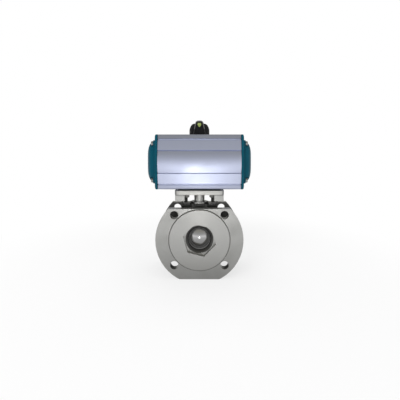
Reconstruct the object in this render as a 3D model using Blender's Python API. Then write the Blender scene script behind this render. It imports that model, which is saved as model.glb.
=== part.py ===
"""Compact flanged ball valve, reduced bore, turned by a double-acting rack-and-pinion pneumatic actuator.

Metres, +Z up. The origin lies under the stem axis, level with the flat foot of the flanges.
The front flange, with the screwed-in body insert, faces -Y. The actuator's cylinder lies along X.
The valve is modelled closed: the pistons are together and the ball's bore points along X.
"""

import math

import bmesh
import bpy
from mathutils import Matrix

# Fits
CLEARANCE = 0.0003
OVERLAP = 0.001

# Facets
BODY_SEGMENTS = 48
BALL_SEGMENTS = 32
SHAFT_SEGMENTS = 24
HOLE_SEGMENTS = 12
SMOOTH_ANGLE = math.radians(35)

# Valve body, flanges for DN 50 PN 16
FLANGE_RADIUS = 0.0775
FLANGE_THICKNESS = 0.013
FACE_TO_FACE = 0.080
RAISED_FACE_RADIUS = 0.0535
RAISED_FACE_HEIGHT = 0.0015
EDGE_CHAMFER = 0.0008
TOP_FLAT_HEIGHT = 0.055
FOOT_DEPTH = 0.069
BOLT_CIRCLE_RADIUS = 0.0625
BOLT_HOLE_RADIUS = 0.0074
BARREL_RADIUS = 0.043
BARREL_FILLET = 0.004
CAVITY_RADIUS = 0.0325
CAVITY_HALF_LENGTH = 0.0175

# Ball, seats and port
BALL_RADIUS = 0.030
BALL_BORE_RADIUS = 0.0195
SLOT_WIDTH = 0.0106
SLOT_FLOOR = 0.0235
SEAT_OUTER_RADIUS = 0.027
SEAT_CONTACT_RADIUS = 0.0245
SEAT_THICKNESS = 0.0100
PORT_RADIUS = 0.0246

# Body insert with its hexagon recess
INSERT_DISC_THICKNESS = 0.0072
INSERT_THREAD_RADIUS = 0.034
INSERT_SEAL_WIDTH = 0.0038
INSERT_SEAL_THICKNESS = 0.0020
HEX_ACROSS_FLATS = 0.0515
HEX_DEPTH = 0.007
HEX_FIRST_ANGLE = math.radians(-74)

# Neck, stem and gland
NECK_RADIUS = 0.0185
NECK_TOP = 0.059
STEM_RADIUS = 0.010
STEM_COLLAR_RADIUS = 0.013
STEM_COLLAR_LOW = 0.0315
STEM_COLLAR_HEIGHT = 0.0045
TANG_WIDTH = 0.018
THRUST_WASHER_THICKNESS = 0.0017
PACKING_BOX_RADIUS = 0.0153
PACKING_BOX_FLOOR = 0.041
PACKING_COUNT = 3
PACKING_HEIGHT = 0.0024
PACKING_VEE = 0.0009
FOLLOWER_HEIGHT = 0.0025
DISC_SPRING_THICKNESS = 0.0010
DISC_SPRING_RISE = 0.0006
GLAND_HEX_ACROSS_FLATS = 0.030
GLAND_HEX_HEIGHT = 0.003
SQUARE_SIZE = 0.014
SQUARE_ENGAGEMENT = 0.016

# ISO 5211 pad, F07, on its legs
PAD_WIDTH = 0.088
PAD_DEPTH = 0.073
PAD_LOW = 0.079
PAD_THICKNESS = 0.0072
PAD_CORNER = 0.009
LAND_HEIGHT = 0.0028
LAND_INSET = 0.005
PAD_HOLE_RADIUS = 0.0185
LEG_INNER = 0.0255
LEG_OUTER = 0.043
LEG_SETBACK = 0.001
LEG_LOW = 0.068
LEG_CORNER = 0.002
WEB_THICKNESS = 0.024
WEB_HALF_WIDTH = 0.036
WEB_INNER_HALF_WIDTH = 0.0315
WEB_SADDLE = 0.0575
STUD_CIRCLE_RADIUS = 0.035
STUD_RADIUS = 0.004
STUD_ENGAGEMENT = 0.012
STUD_TAIL = 0.0090
NUT_ACROSS_FLATS = 0.013
NUT_HEIGHT = 0.0055
SPOT_FACE_DEPTH = 0.0005
CENTRING_RING_RADIUS = 0.0275
CENTRING_RING_WALL = 0.0028
CENTRING_RING_SINK = 0.0018

# Actuator body extrusion
CYLINDER_RADIUS = 0.0375
BODY_HALF_LENGTH = 0.0724
BODY_HALF_HEIGHT = 0.0481
BODY_HALF_DEPTH = 0.0455
BULGE_HALF_HEIGHT = 0.0190
BULGE_RISE = 0.0028
STEP_DEPTH = 0.0008
STEP_WIDTH = 0.0012
BAND_PROUD = 0.0012
BAND_SLOPE = 0.0020
GROOVE_DROP = 0.0104
GROOVE_WIDTH = 0.0026
GROOVE_DEPTH = 0.0025
CORNER_BAND_SLOPE = 0.0016
BODY_CORNER = 0.0035

# Air ports on the back, to the VDI/VDE 3845 solenoid valve pattern
PORT_PAD_HALF_WIDTH = 0.026
PORT_PAD_LOW = -0.022
PORT_PAD_HIGH = 0.0135
PORT_PAD_PROUD = 0.0005
AIR_PORT_SPACING = 0.024
AIR_PORT_HEIGHT = -0.004
AIR_PORT_RADIUS = 0.0057
AIR_PORT_DEPTH = 0.0065
AIR_DUCT_RADIUS = 0.0018
PORT_SCREW_SPACING = 0.032
TAPPED_M5_RADIUS = 0.0022
TAPPED_M5_DEPTH = 0.006
TOP_PATTERN_LENGTH = 0.080
TOP_PATTERN_WIDTH = 0.030

# End caps
CAP_PLATE_THICKNESS = 0.0040
CAP_CORNER = 0.008
CAP_SPIGOT_RADIUS = 0.034
CAP_SPIGOT_LENGTH = 0.0035
CAP_SEAL_SECTION = 0.0014
DOME_RISE = 0.0190
DOME_SETBACK = 0.0093
DOME_PROFILE_POWER = 2.8
DOME_PLAN_POWER = 5.0
DOME_LAYERS = 7
DOME_POINTS = 32
CAP_HOLLOW_RADIUS = 0.0325
CAP_HOLLOW_DEPTH = 0.0145
CAP_SCREW_INSET = 0.0155
CAP_SCREW_RADIUS = 0.0025
CAP_SCREW_HEAD_RADIUS = 0.00425
CAP_SCREW_HEAD_HEIGHT = 0.0035
CAP_SCREW_REACH = 0.014
CAP_BOSS_RADIUS = 0.0060
CAP_BOSS_HEIGHT = 0.0050
CAP_POCKET_RADIUS = 0.0062

# Rack and pinion
MODULE = 0.002
PINION_TEETH = 14
PRESSURE_ANGLE = math.radians(20)
TOOTH_THINNING = 0.0003
RACK_ADDENDUM_SHARE = 0.8
DEDENDUM_SHARE = 1.25
RACK_TEETH_EACH_WAY = 4
GEAR_HALF_FACE = 0.0125
RACK_HALF_FACE = 0.012
RACK_BACK = 0.0305
PISTON_THICKNESS = 0.014
PISTON_END_GAP = 0.0005
PISTON_SEAL_SECTION = 0.0013
PISTON_SEAL_INSET = 0.0036
GUIDE_BAND_WIDTH = 0.0045
GUIDE_BAND_DEPTH = 0.0016
GUIDE_BAND_INSET = 0.0070
RACK_GUIDE_LENGTH = 0.030
RACK_GUIDE_HALF_FACE = 0.008
RACK_TIP_GAP = 0.002

# Pinion shaft, its bearings and stops
LOWER_JOURNAL_RADIUS = 0.017
LOWER_JOURNAL_TOP = -0.030
HUB_RADIUS = 0.013
UPPER_JOURNAL_RADIUS = 0.010
PINION_FOOT_SETBACK = 0.0003
PINION_STICK_OUT = 0.0110
SOCKET_DEPTH = 0.018
BEARING_WALL = 0.0018
UPPER_BEARING_LENGTH = 0.0100
LOWER_BEARING_LENGTH = 0.0130
STOP_CAM_LOW = 0.020
STOP_CAM_THICKNESS = 0.008
STOP_CAM_CORE_RADIUS = 0.013
STOP_CAM_RADIUS = 0.020
STOP_FACE = 0.008
STOP_SCREW_OFFSET = 0.015
STOP_SCREW_RADIUS = 0.004
STOP_SCREW_END = 0.0452
STOP_SPOT_DEPTH = 0.006
STOP_NUT_HEIGHT = 0.0040
RETAINER_WASHER_THICKNESS = 0.0010
RETAINER_WASHER_RADIUS = 0.0155
CIRCLIP_THICKNESS = 0.0012
CIRCLIP_RADIUS = 0.0135
CIRCLIP_GROOVE_DEPTH = 0.0010
CIRCLIP_GAP_ANGLE = math.radians(40)

# Position indicator
INDICATOR_RADIUS = 0.0195
INDICATOR_HEIGHT = 0.0286
INDICATOR_LIFT = 0.0006
INDICATOR_STEPS = 9
INDICATOR_SKIRT_HOLLOW_RADIUS = 0.0162
INDICATOR_SKIRT_HOLLOW = 0.0040
INSERT_BAND_HALF_WIDTH = 0.007
INSERT_BAND_PROUD = 0.0006
INSERT_BAND_FLOOR = 0.0124
INDICATOR_SCREW_RADIUS = 0.003
INDICATOR_SCREW_HEAD_RADIUS = 0.005
INDICATOR_SCREW_HEAD_HEIGHT = 0.0025
INDICATOR_SCREW_LENGTH = 0.022

# Places worked out from the sizes above
FLANGE_FACE = FACE_TO_FACE / 2 - RAISED_FACE_HEIGHT
FLANGE_BACK = FLANGE_FACE - FLANGE_THICKNESS
INSERT_SHELF = FACE_TO_FACE / 2 - INSERT_DISC_THICKNESS
SEAT_BACK = CAVITY_HALF_LENGTH + CLEARANCE + SEAT_THICKNESS
PAD_TOP = PAD_LOW + PAD_THICKNESS
LAND_TOP = PAD_TOP + LAND_HEIGHT
STUD_OFFSET = STUD_CIRCLE_RADIUS / math.sqrt(2)
ACTUATOR_RISE = LAND_TOP + CLEARANCE + BODY_HALF_HEIGHT
GROOVE_HEIGHT = BODY_HALF_HEIGHT - GROOVE_DROP
PORT_PAD_FACE = BODY_HALF_DEPTH + PORT_PAD_PROUD
PITCH_RADIUS = MODULE * PINION_TEETH / 2
PISTON_TRAVEL = PITCH_RADIUS * math.pi / 2
CAP_INNER_FACE = BODY_HALF_LENGTH + CLEARANCE
CAP_PLATE_OUTER = CAP_INNER_FACE + CAP_PLATE_THICKNESS
CAP_SCREW_SEAT = CAP_PLATE_OUTER + CAP_BOSS_HEIGHT
CAP_SCREW_PLACE = (PORT_PAD_FACE - CAP_SCREW_INSET, BODY_HALF_HEIGHT - CAP_SCREW_INSET)
DOME_HALF_DEPTH = PORT_PAD_FACE - DOME_SETBACK
DOME_HALF_HEIGHT = BODY_HALF_HEIGHT - DOME_SETBACK
PISTON_OUTER = CAP_INNER_FACE - CAP_SPIGOT_LENGTH - PISTON_END_GAP - PISTON_TRAVEL
PISTON_INNER = PISTON_OUTER - PISTON_THICKNESS
PINION_FOOT = -BODY_HALF_HEIGHT + PINION_FOOT_SETBACK
PINION_TOP = BODY_HALF_HEIGHT + PINION_STICK_OUT
RETAINER_LOW = BODY_HALF_HEIGHT + CLEARANCE
CIRCLIP_LOW = RETAINER_LOW + RETAINER_WASHER_THICKNESS + CLEARANCE
INDICATOR_FOOT = BODY_HALF_HEIGHT + INDICATOR_LIFT

for leftover in list(bpy.data.objects):
    bpy.data.objects.remove(leftover)


def finish(name, colour, roughness, metallic):
    """A Principled BSDF material."""
    material = bpy.data.materials.new(name)
    material.use_nodes = True
    shader = material.node_tree.nodes["Principled BSDF"]
    shader.inputs["Base Color"].default_value = (*colour, 1.0)
    shader.inputs["Roughness"].default_value = roughness
    shader.inputs["Metallic"].default_value = metallic
    return material


CAST_STAINLESS = finish("cast stainless steel", (0.52, 0.52, 0.50), 0.45, 1.0)
TURNED_STAINLESS = finish("turned stainless steel", (0.62, 0.62, 0.60), 0.28, 1.0)
CHROME = finish("polished chrome", (0.75, 0.75, 0.77), 0.06, 1.0)
PTFE = finish("white PTFE", (0.86, 0.86, 0.84), 0.5, 0.0)
ANODISED = finish("anodised aluminium", (0.55, 0.58, 0.70), 0.38, 1.0)
TEAL_ENAMEL = finish("teal enamel", (0.010, 0.090, 0.125), 0.30, 0.0)
PISTON_ALUMINIUM = finish("cast aluminium", (0.60, 0.60, 0.61), 0.42, 1.0)
NICKEL_STEEL = finish("nickel-plated steel", (0.55, 0.54, 0.50), 0.30, 1.0)
BLACK_PLASTIC = finish("black plastic", (0.006, 0.006, 0.007), 0.35, 0.0)
BEARING_PLASTIC = finish("acetal bearing plastic", (0.75, 0.74, 0.70), 0.45, 0.0)
RUBBER = finish("nitrile rubber", (0.02, 0.02, 0.02), 0.7, 0.0)
DARK_STEEL = finish("dark zinc steel", (0.20, 0.20, 0.19), 0.45, 1.0)
SCREW_STAINLESS = finish("stainless screw steel", (0.45, 0.45, 0.45), 0.35, 1.0)


def pivot(name, place, parent=None):
    """An empty that carries the pieces of one assembly or one moving body."""
    empty = bpy.data.objects.new(name, None)
    bpy.context.scene.collection.objects.link(empty)
    empty.location = place
    empty.parent = parent
    return empty


VALVE = pivot("valve_centre", (0, 0, FOOT_DEPTH))
BALL_PIVOT = pivot("ball_pivot", (0, 0, 0), VALVE)
ACTUATOR = pivot("actuator_centre", (0, 0, FOOT_DEPTH + ACTUATOR_RISE))
PINION_PIVOT = pivot("pinion_pivot", (0, 0, 0), ACTUATOR)
LEFT_SLIDE = pivot("left_piston_slide", (0, 0, 0), ACTUATOR)
RIGHT_SLIDE = pivot("right_piston_slide", (0, 0, 0), ACTUATOR)
RIGHT_SLIDE.rotation_euler.z = math.pi

TURN_TO = {
    "Z": Matrix(),
    "Y": Matrix.Rotation(-math.pi / 2, 4, "X"),
    "X": Matrix.Rotation(math.pi / 2, 4, "Y"),
}


def on_axis(u, v, along, axis):
    """A point of a cross-section: (x, y) across Z, (x, z) across Y, (y, z) across X."""
    return {"Z": (u, v, along), "Y": (u, along, v), "X": (along, u, v)}[axis]


def arc(centre, radius, start, end, steps):
    """Points of an arc between two angles in degrees, both ends included."""
    angles = [math.radians(start + (end - start) * step / steps) for step in range(steps + 1)]
    return [(centre[0] + radius * math.cos(a), centre[1] + radius * math.sin(a)) for a in angles]


def rectangle(low_u, low_v, high_u, high_v):
    return [(low_u, low_v), (high_u, low_v), (high_u, high_v), (low_u, high_v)]


def rounded_rectangle(half_u, half_v, radius, centre=(0.0, 0.0), steps=4):
    points = []
    for sign_u, sign_v, start in ((1, 1, 0), (-1, 1, 90), (-1, -1, 180), (1, -1, 270)):
        corner = (centre[0] + sign_u * (half_u - radius), centre[1] + sign_v * (half_v - radius))
        points += arc(corner, radius, start, start + 90, steps)
    return points


def hexagon(across_flats, first_angle=0.0, centre=(0.0, 0.0)):
    radius = across_flats / math.sqrt(3)
    angles = [first_angle + step * math.pi / 3 for step in range(6)]
    return [(centre[0] + radius * math.cos(a), centre[1] + radius * math.sin(a)) for a in angles]


def mirrored_corners(offset_u, offset_v):
    """The four corners of a bolt square."""
    return [(u, v) for u in (-offset_u, offset_u) for v in (-offset_v, offset_v)]


def prism(outline, low, high, axis="Z"):
    """A straight extrusion of an outline along one axis."""
    bm = bmesh.new()
    base = bm.faces.new([bm.verts.new(on_axis(u, v, low, axis)) for u, v in outline])
    grown = bmesh.ops.extrude_face_region(bm, geom=[base])["geom"]
    top = [part for part in grown if isinstance(part, bmesh.types.BMVert)]
    bmesh.ops.translate(bm, verts=top, vec=on_axis(0, 0, high - low, axis))
    bmesh.ops.recalc_face_normals(bm, faces=bm.faces)
    return bm


def turned(profile, segments, axis="Z", place=(0, 0, 0)):
    """A profile of (radius, height) points turned about an axis; its ends meet or lie on the axis."""
    bm = bmesh.new()
    verts = [bm.verts.new((radius, 0, height)) for radius, height in profile]
    edges = [bm.edges.new(pair) for pair in zip(verts, verts[1:])]
    if profile[0][0] > 0 or profile[-1][0] > 0:
        edges.append(bm.edges.new((verts[-1], verts[0])))
    bmesh.ops.spin(
        bm, geom=verts + edges, cent=(0, 0, 0), axis=(0, 0, 1),
        angle=2 * math.pi, steps=segments, use_merge=True,
    )
    bmesh.ops.remove_doubles(bm, verts=bm.verts, dist=1e-7)
    bmesh.ops.transform(bm, verts=bm.verts, matrix=Matrix.Translation(place) @ TURN_TO[axis])
    bmesh.ops.recalc_face_normals(bm, faces=bm.faces)
    return bm


def rod(radius, low, high, segments=HOLE_SEGMENTS, axis="Z", across=(0, 0)):
    """A plain cylinder along an axis; across is its place in the cross-section."""
    profile = [(0, low), (radius, low), (radius, high), (0, high)]
    return turned(profile, segments, axis, on_axis(across[0], across[1], 0, axis))


def ring(inner, outer, low, high, segments=SHAFT_SEGMENTS, axis="Z"):
    return turned([(inner, low), (outer, low), (outer, high), (inner, high)], segments, axis)


def o_ring(inner, section, middle, axis, segments=BALL_SEGMENTS):
    """A rubber ring of round section, given its inside radius and its section's radius."""
    sides = [step * math.pi / 3 for step in range(6)]
    centre = inner + section
    profile = [(centre + section * math.cos(a), middle + section * math.sin(a)) for a in sides]
    return turned(profile, segments, axis)


def gathered(shapes):
    """Several separate shapes as one, to cut or join together."""
    whole = bmesh.new()
    for shape in shapes:
        carrier = bpy.data.meshes.new("carrier")
        shape.to_mesh(carrier)
        shape.free()
        whole.from_mesh(carrier)
        bpy.data.meshes.remove(carrier)
    return whole


def piece(name, bm, material, parent):
    """One named solid of the valve."""
    mesh = bpy.data.meshes.new(name)
    bm.to_mesh(mesh)
    bm.free()
    mesh.shade_smooth()
    mesh.set_sharp_from_angle(angle=SMOOTH_ANGLE)
    mesh.materials.append(material)
    obj = bpy.data.objects.new(name, mesh)
    bpy.context.scene.collection.objects.link(obj)
    obj.parent = parent
    return obj


def shape_with(obj, operation, bm, label):
    """A live Boolean on a piece, whose tool stays in the file as a hidden helper."""
    tool = piece(f"{obj.name} {label}", bm, obj.data.materials[0], obj.parent)
    tool.hide_render = True
    tool.display_type = "WIRE"
    modifier = obj.modifiers.new(label, "BOOLEAN")
    modifier.operation = operation
    modifier.solver = "EXACT"
    modifier.object = tool


def cut(obj, bm, label):
    shape_with(obj, "DIFFERENCE", bm, label)


def join(obj, bm, label):
    shape_with(obj, "UNION", bm, label)


def keep_inside(obj, bm, label):
    shape_with(obj, "INTERSECT", bm, label)


def turn_about_z(obj, angle):
    """Turns a piece and the tools of its Booleans together."""
    obj.rotation_euler.z = angle
    for modifier in obj.modifiers:
        modifier.object.rotation_euler.z = angle


def sphere_reach(radius, across):
    """How far along its axis a sphere reaches at a distance across it."""
    return math.sqrt(radius**2 - across**2)


# Valve body


def valve_body_profile():
    """Half section of the flanges, barrel and cavity as (radius, y), from the front flange's face round."""
    fillet = BARREL_RADIUS + BARREL_FILLET
    back = FLANGE_BACK - BARREL_FILLET
    shelf_radius = RAISED_FACE_RADIUS + CLEARANCE
    thread = INSERT_THREAD_RADIUS + CLEARANCE
    seal = thread + INSERT_SEAL_WIDTH + CLEARANCE
    shelf = INSERT_SHELF - CLEARANCE
    seal_floor = shelf - INSERT_SEAL_THICKNESS - CLEARANCE
    pocket = SEAT_OUTER_RADIUS + CLEARANCE
    pocket_floor = SEAT_BACK + CLEARANCE
    front = [
        (shelf_radius + EDGE_CHAMFER, -FLANGE_FACE),
        (FLANGE_RADIUS, -FLANGE_FACE),
        (FLANGE_RADIUS, -FLANGE_BACK),
    ]
    barrel = [(fillet, -FLANGE_BACK), (BARREL_RADIUS, -back), (BARREL_RADIUS, back), (fillet, FLANGE_BACK)]
    rear = [
        (FLANGE_RADIUS, FLANGE_BACK),
        (FLANGE_RADIUS, FLANGE_FACE),
        (RAISED_FACE_RADIUS, FLANGE_FACE),
        (RAISED_FACE_RADIUS, FACE_TO_FACE / 2),
        (PORT_RADIUS, FACE_TO_FACE / 2),
        (PORT_RADIUS, INSERT_SHELF),
        (BALL_BORE_RADIUS, pocket_floor),
        (pocket, pocket_floor),
        (pocket, CAVITY_HALF_LENGTH),
    ]
    inside = [
        (CAVITY_RADIUS, CAVITY_HALF_LENGTH),
        (CAVITY_RADIUS, -CAVITY_HALF_LENGTH),
        (thread, -CAVITY_HALF_LENGTH),
        (thread, -seal_floor),
        (seal, -seal_floor),
        (seal, -shelf),
        (shelf_radius, -shelf),
        (shelf_radius, -FLANGE_FACE + EDGE_CHAMFER),
    ]
    return front + barrel + rear + inside


def web_outline():
    """The rib under the pad's legs, seen from the front, with a gap for the neck's top."""
    high = LEG_LOW + OVERLAP
    inner = WEB_INNER_HALF_WIDTH
    root = arc((0, 0), (BARREL_RADIUS + CAVITY_RADIUS) / 2, 140, 40, 8)
    right = [(WEB_HALF_WIDTH, high), (inner, high), (inner, WEB_SADDLE)]
    return root + right + [(-x, z) for x, z in reversed(right)]


def stem_passage_profile():
    """The stem's hole, with the collar's counterbore below and the packing box above."""
    collar = STEM_COLLAR_RADIUS + CLEARANCE
    shaft = STEM_RADIUS + CLEARANCE
    shoulder = STEM_COLLAR_LOW + STEM_COLLAR_HEIGHT + THRUST_WASHER_THICKNESS + 2 * CLEARANCE
    return [
        (0, CAVITY_RADIUS - STEM_COLLAR_RADIUS),
        (collar, CAVITY_RADIUS - STEM_COLLAR_RADIUS),
        (collar, shoulder),
        (shaft, shoulder),
        (shaft, PACKING_BOX_FLOOR),
        (PACKING_BOX_RADIUS, PACKING_BOX_FLOOR),
        (PACKING_BOX_RADIUS, NECK_TOP + OVERLAP),
        (0, NECK_TOP + OVERLAP),
    ]


def make_valve_body():
    body = piece("valve_body", turned(valve_body_profile(), BODY_SEGMENTS, "Y"), CAST_STAINLESS, VALVE)
    beyond = FLANGE_RADIUS + 10 * OVERLAP
    face = FACE_TO_FACE / 2 + OVERLAP
    top_block = prism(rectangle(-beyond, TOP_FLAT_HEIGHT, beyond, beyond), -face, face, "Y")
    foot_block = prism(rectangle(-beyond, -beyond, beyond, -FOOT_DEPTH), -face, face, "Y")
    cut(body, gathered([top_block, foot_block]), "flats")
    flange_holes = [
        rod(BOLT_HOLE_RADIUS, -face, face, 16, "Y", corner)
        for corner in mirrored_corners(*[BOLT_CIRCLE_RADIUS / math.sqrt(2)] * 2)
    ]
    cut(body, gathered(flange_holes), "flange holes")
    neck_foot = INSERT_THREAD_RADIUS + CLEARANCE + OVERLAP
    join(body, rod(NECK_RADIUS, neck_foot, NECK_TOP, SHAFT_SEGMENTS), "neck")
    join(body, prism(web_outline(), -WEB_THICKNESS / 2, WEB_THICKNESS / 2, "Y"), "web")
    leg_half_width = (LEG_OUTER - LEG_INNER) / 2
    legs = [
        prism(
            rounded_rectangle(
                leg_half_width, PAD_DEPTH / 2 - LEG_SETBACK, LEG_CORNER,
                (side * (LEG_OUTER + LEG_INNER) / 2, 0), 2,
            ),
            LEG_LOW, PAD_LOW + OVERLAP,
        )
        for side in (-1, 1)
    ]
    join(body, gathered(legs), "legs")
    join(body, prism(rounded_rectangle(PAD_WIDTH / 2, PAD_DEPTH / 2, PAD_CORNER), PAD_LOW, PAD_TOP), "pad")
    land = rounded_rectangle(PAD_WIDTH / 2 - LAND_INSET, PAD_DEPTH / 2 - LAND_INSET, PAD_CORNER)
    join(body, prism(land, PAD_TOP - OVERLAP, LAND_TOP), "land")
    nut_corner = NUT_ACROSS_FLATS / math.sqrt(3)
    corners = mirrored_corners(STUD_OFFSET, STUD_OFFSET)
    nut_seat = PAD_LOW + SPOT_FACE_DEPTH
    pockets = [rod(nut_corner + OVERLAP, LEG_LOW - OVERLAP, nut_seat, HOLE_SEGMENTS, "Z", c) for c in corners]
    cut(body, gathered(pockets), "nut pockets")
    groove_radius = CENTRING_RING_RADIUS + CLEARANCE
    groove_core = CENTRING_RING_RADIUS - CENTRING_RING_WALL - CLEARANCE
    groove_floor = LAND_TOP - CENTRING_RING_SINK - CLEARANCE
    pad_cuts = [rod(STUD_RADIUS + CLEARANCE, PAD_LOW, LAND_TOP + OVERLAP, HOLE_SEGMENTS, "Z", c) for c in corners]
    pad_cuts.append(rod(PAD_HOLE_RADIUS, PAD_LOW - OVERLAP, LAND_TOP + OVERLAP, SHAFT_SEGMENTS))
    pad_cuts.append(ring(groove_core, groove_radius, groove_floor, LAND_TOP + OVERLAP))
    cut(body, gathered(pad_cuts), "pad holes")
    cut(body, turned(stem_passage_profile(), SHAFT_SEGMENTS), "stem passage")


def make_insert():
    """The front closure: a turned disc with a threaded spigot, a seat pocket and a hexagon recess."""
    shelf = INSERT_SHELF
    spigot_end = CAVITY_HALF_LENGTH + CLEARANCE
    pocket = SEAT_OUTER_RADIUS + CLEARANCE
    pocket_floor = SEAT_BACK + CLEARANCE
    profile = [
        (PORT_RADIUS, -FACE_TO_FACE / 2),
        (RAISED_FACE_RADIUS - EDGE_CHAMFER, -FACE_TO_FACE / 2),
        (RAISED_FACE_RADIUS, -FACE_TO_FACE / 2 + EDGE_CHAMFER),
        (RAISED_FACE_RADIUS, -shelf),
        (INSERT_THREAD_RADIUS, -shelf),
        (INSERT_THREAD_RADIUS, -spigot_end),
        (pocket, -spigot_end),
        (pocket, -pocket_floor),
        (BALL_BORE_RADIUS, -pocket_floor),
        (PORT_RADIUS, -shelf + OVERLAP / 2),
    ]
    insert = piece("body_insert", turned(profile, BODY_SEGMENTS, "Y"), TURNED_STAINLESS, VALVE)
    face = -FACE_TO_FACE / 2
    recess = prism(hexagon(HEX_ACROSS_FLATS, HEX_FIRST_ANGLE), face - OVERLAP, face + HEX_DEPTH, "Y")
    cut(insert, recess, "hexagon recess")
    seal_inner = INSERT_THREAD_RADIUS + CLEARANCE
    seal_front = -(INSERT_SHELF - CLEARANCE)
    seal = ring(
        seal_inner + CLEARANCE, seal_inner + INSERT_SEAL_WIDTH,
        seal_front, seal_front + INSERT_SEAL_THICKNESS, BALL_SEGMENTS, "Y",
    )
    piece("insert_seal", seal, PTFE, VALVE)


def make_seats():
    """Two PTFE rings whose inner corners follow the ball."""
    contact = BALL_RADIUS + CLEARANCE
    steps = 2
    spread = [BALL_BORE_RADIUS + (SEAT_CONTACT_RADIUS - BALL_BORE_RADIUS) * s / steps for s in range(steps + 1)]
    ball_side = [(across, sphere_reach(contact, across)) for across in spread]
    near = CAVITY_HALF_LENGTH + CLEARANCE
    rest = [(SEAT_OUTER_RADIUS, near), (SEAT_OUTER_RADIUS, SEAT_BACK), (BALL_BORE_RADIUS, SEAT_BACK)]
    profile = ball_side + [(SEAT_CONTACT_RADIUS, near)] + rest
    piece("rear_seat", turned(profile, BALL_SEGMENTS, "Y"), PTFE, VALVE)
    flipped = [(across, -along) for across, along in profile]
    piece("front_seat", turned(flipped, BALL_SEGMENTS, "Y"), PTFE, VALVE)


def make_ball():
    bm = bmesh.new()
    bmesh.ops.create_uvsphere(bm, u_segments=BALL_SEGMENTS, v_segments=BALL_SEGMENTS // 2, radius=BALL_RADIUS)
    ball = piece("ball", bm, CHROME, BALL_PIVOT)
    beyond = BALL_RADIUS + OVERLAP
    cut(ball, rod(BALL_BORE_RADIUS, -beyond, beyond, BALL_SEGMENTS, "X"), "bore")
    half = SLOT_WIDTH / 2
    cut(ball, prism(rectangle(-half, SLOT_FLOOR, half, beyond), -beyond, beyond, "Y"), "stem slot")


# Stem and gland


def make_stem():
    collar_top = STEM_COLLAR_LOW + STEM_COLLAR_HEIGHT
    square_low = ACTUATOR_RISE + PINION_FOOT
    square_top = square_low + SQUARE_ENGAGEMENT
    shaft_top = square_low - OVERLAP
    profile = [
        (0, STEM_COLLAR_LOW),
        (STEM_COLLAR_RADIUS, STEM_COLLAR_LOW),
        (STEM_COLLAR_RADIUS, collar_top),
        (STEM_RADIUS, collar_top),
        (STEM_RADIUS, shaft_top - EDGE_CHAMFER),
        (STEM_RADIUS - EDGE_CHAMFER, shaft_top),
        (0, shaft_top),
    ]
    stem = piece("stem", turned(profile, SHAFT_SEGMENTS), TURNED_STAINLESS, BALL_PIVOT)
    half = SLOT_WIDTH / 2 - CLEARANCE
    tang = rectangle(-half, -TANG_WIDTH / 2, half, TANG_WIDTH / 2)
    join(stem, prism(tang, SLOT_FLOOR + CLEARANCE, STEM_COLLAR_LOW + OVERLAP), "tang")
    square = rounded_rectangle(SQUARE_SIZE / 2, SQUARE_SIZE / 2, SQUARE_SIZE / 10, steps=1)
    join(stem, prism(square, shaft_top - OVERLAP, square_top), "square")


def make_gland():
    """What seals the stem: a thrust washer below, then vee packing, follower, disc springs and nut."""
    inner = STEM_RADIUS + CLEARANCE
    outer = PACKING_BOX_RADIUS - CLEARANCE
    washer_low = STEM_COLLAR_LOW + STEM_COLLAR_HEIGHT + CLEARANCE
    washer = ring(inner, STEM_COLLAR_RADIUS, washer_low, washer_low + THRUST_WASHER_THICKNESS)
    piece("stem_thrust_washer", washer, PTFE, VALVE)
    middle = (inner + outer) / 2
    level = PACKING_BOX_FLOOR + CLEARANCE
    for number in range(1, PACKING_COUNT + 1):
        top = level + PACKING_HEIGHT
        profile = [
            (inner, level), (middle, level + PACKING_VEE), (outer, level),
            (outer, top), (middle, top + PACKING_VEE), (inner, top),
        ]
        piece(f"packing_ring_{number}", turned(profile, SHAFT_SEGMENTS), PTFE, VALVE)
        level = top + CLEARANCE
    level += PACKING_VEE
    follower = ring(inner, outer, level, level + FOLLOWER_HEIGHT)
    piece("gland_follower", follower, TURNED_STAINLESS, VALVE)
    level += FOLLOWER_HEIGHT + CLEARANCE
    for name in ("disc_spring_lower", "disc_spring_upper"):
        rise = level + DISC_SPRING_RISE
        profile = [
            (inner, rise), (outer, level),
            (outer, level + DISC_SPRING_THICKNESS), (inner, rise + DISC_SPRING_THICKNESS),
        ]
        piece(name, turned(profile, SHAFT_SEGMENTS), SCREW_STAINLESS, VALVE)
        level += DISC_SPRING_THICKNESS + CLEARANCE
    nut_low = level + DISC_SPRING_RISE
    head_low = NECK_TOP + CLEARANCE
    nut = piece("gland_nut", ring(inner, outer, nut_low, head_low + OVERLAP), SCREW_STAINLESS, VALVE)
    join(nut, prism(hexagon(GLAND_HEX_ACROSS_FLATS), head_low, head_low + GLAND_HEX_HEIGHT), "hexagon")
    cut(nut, rod(inner, nut_low - OVERLAP, head_low + 2 * GLAND_HEX_HEIGHT, SHAFT_SEGMENTS), "hole")


# Mounting of the actuator


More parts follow.
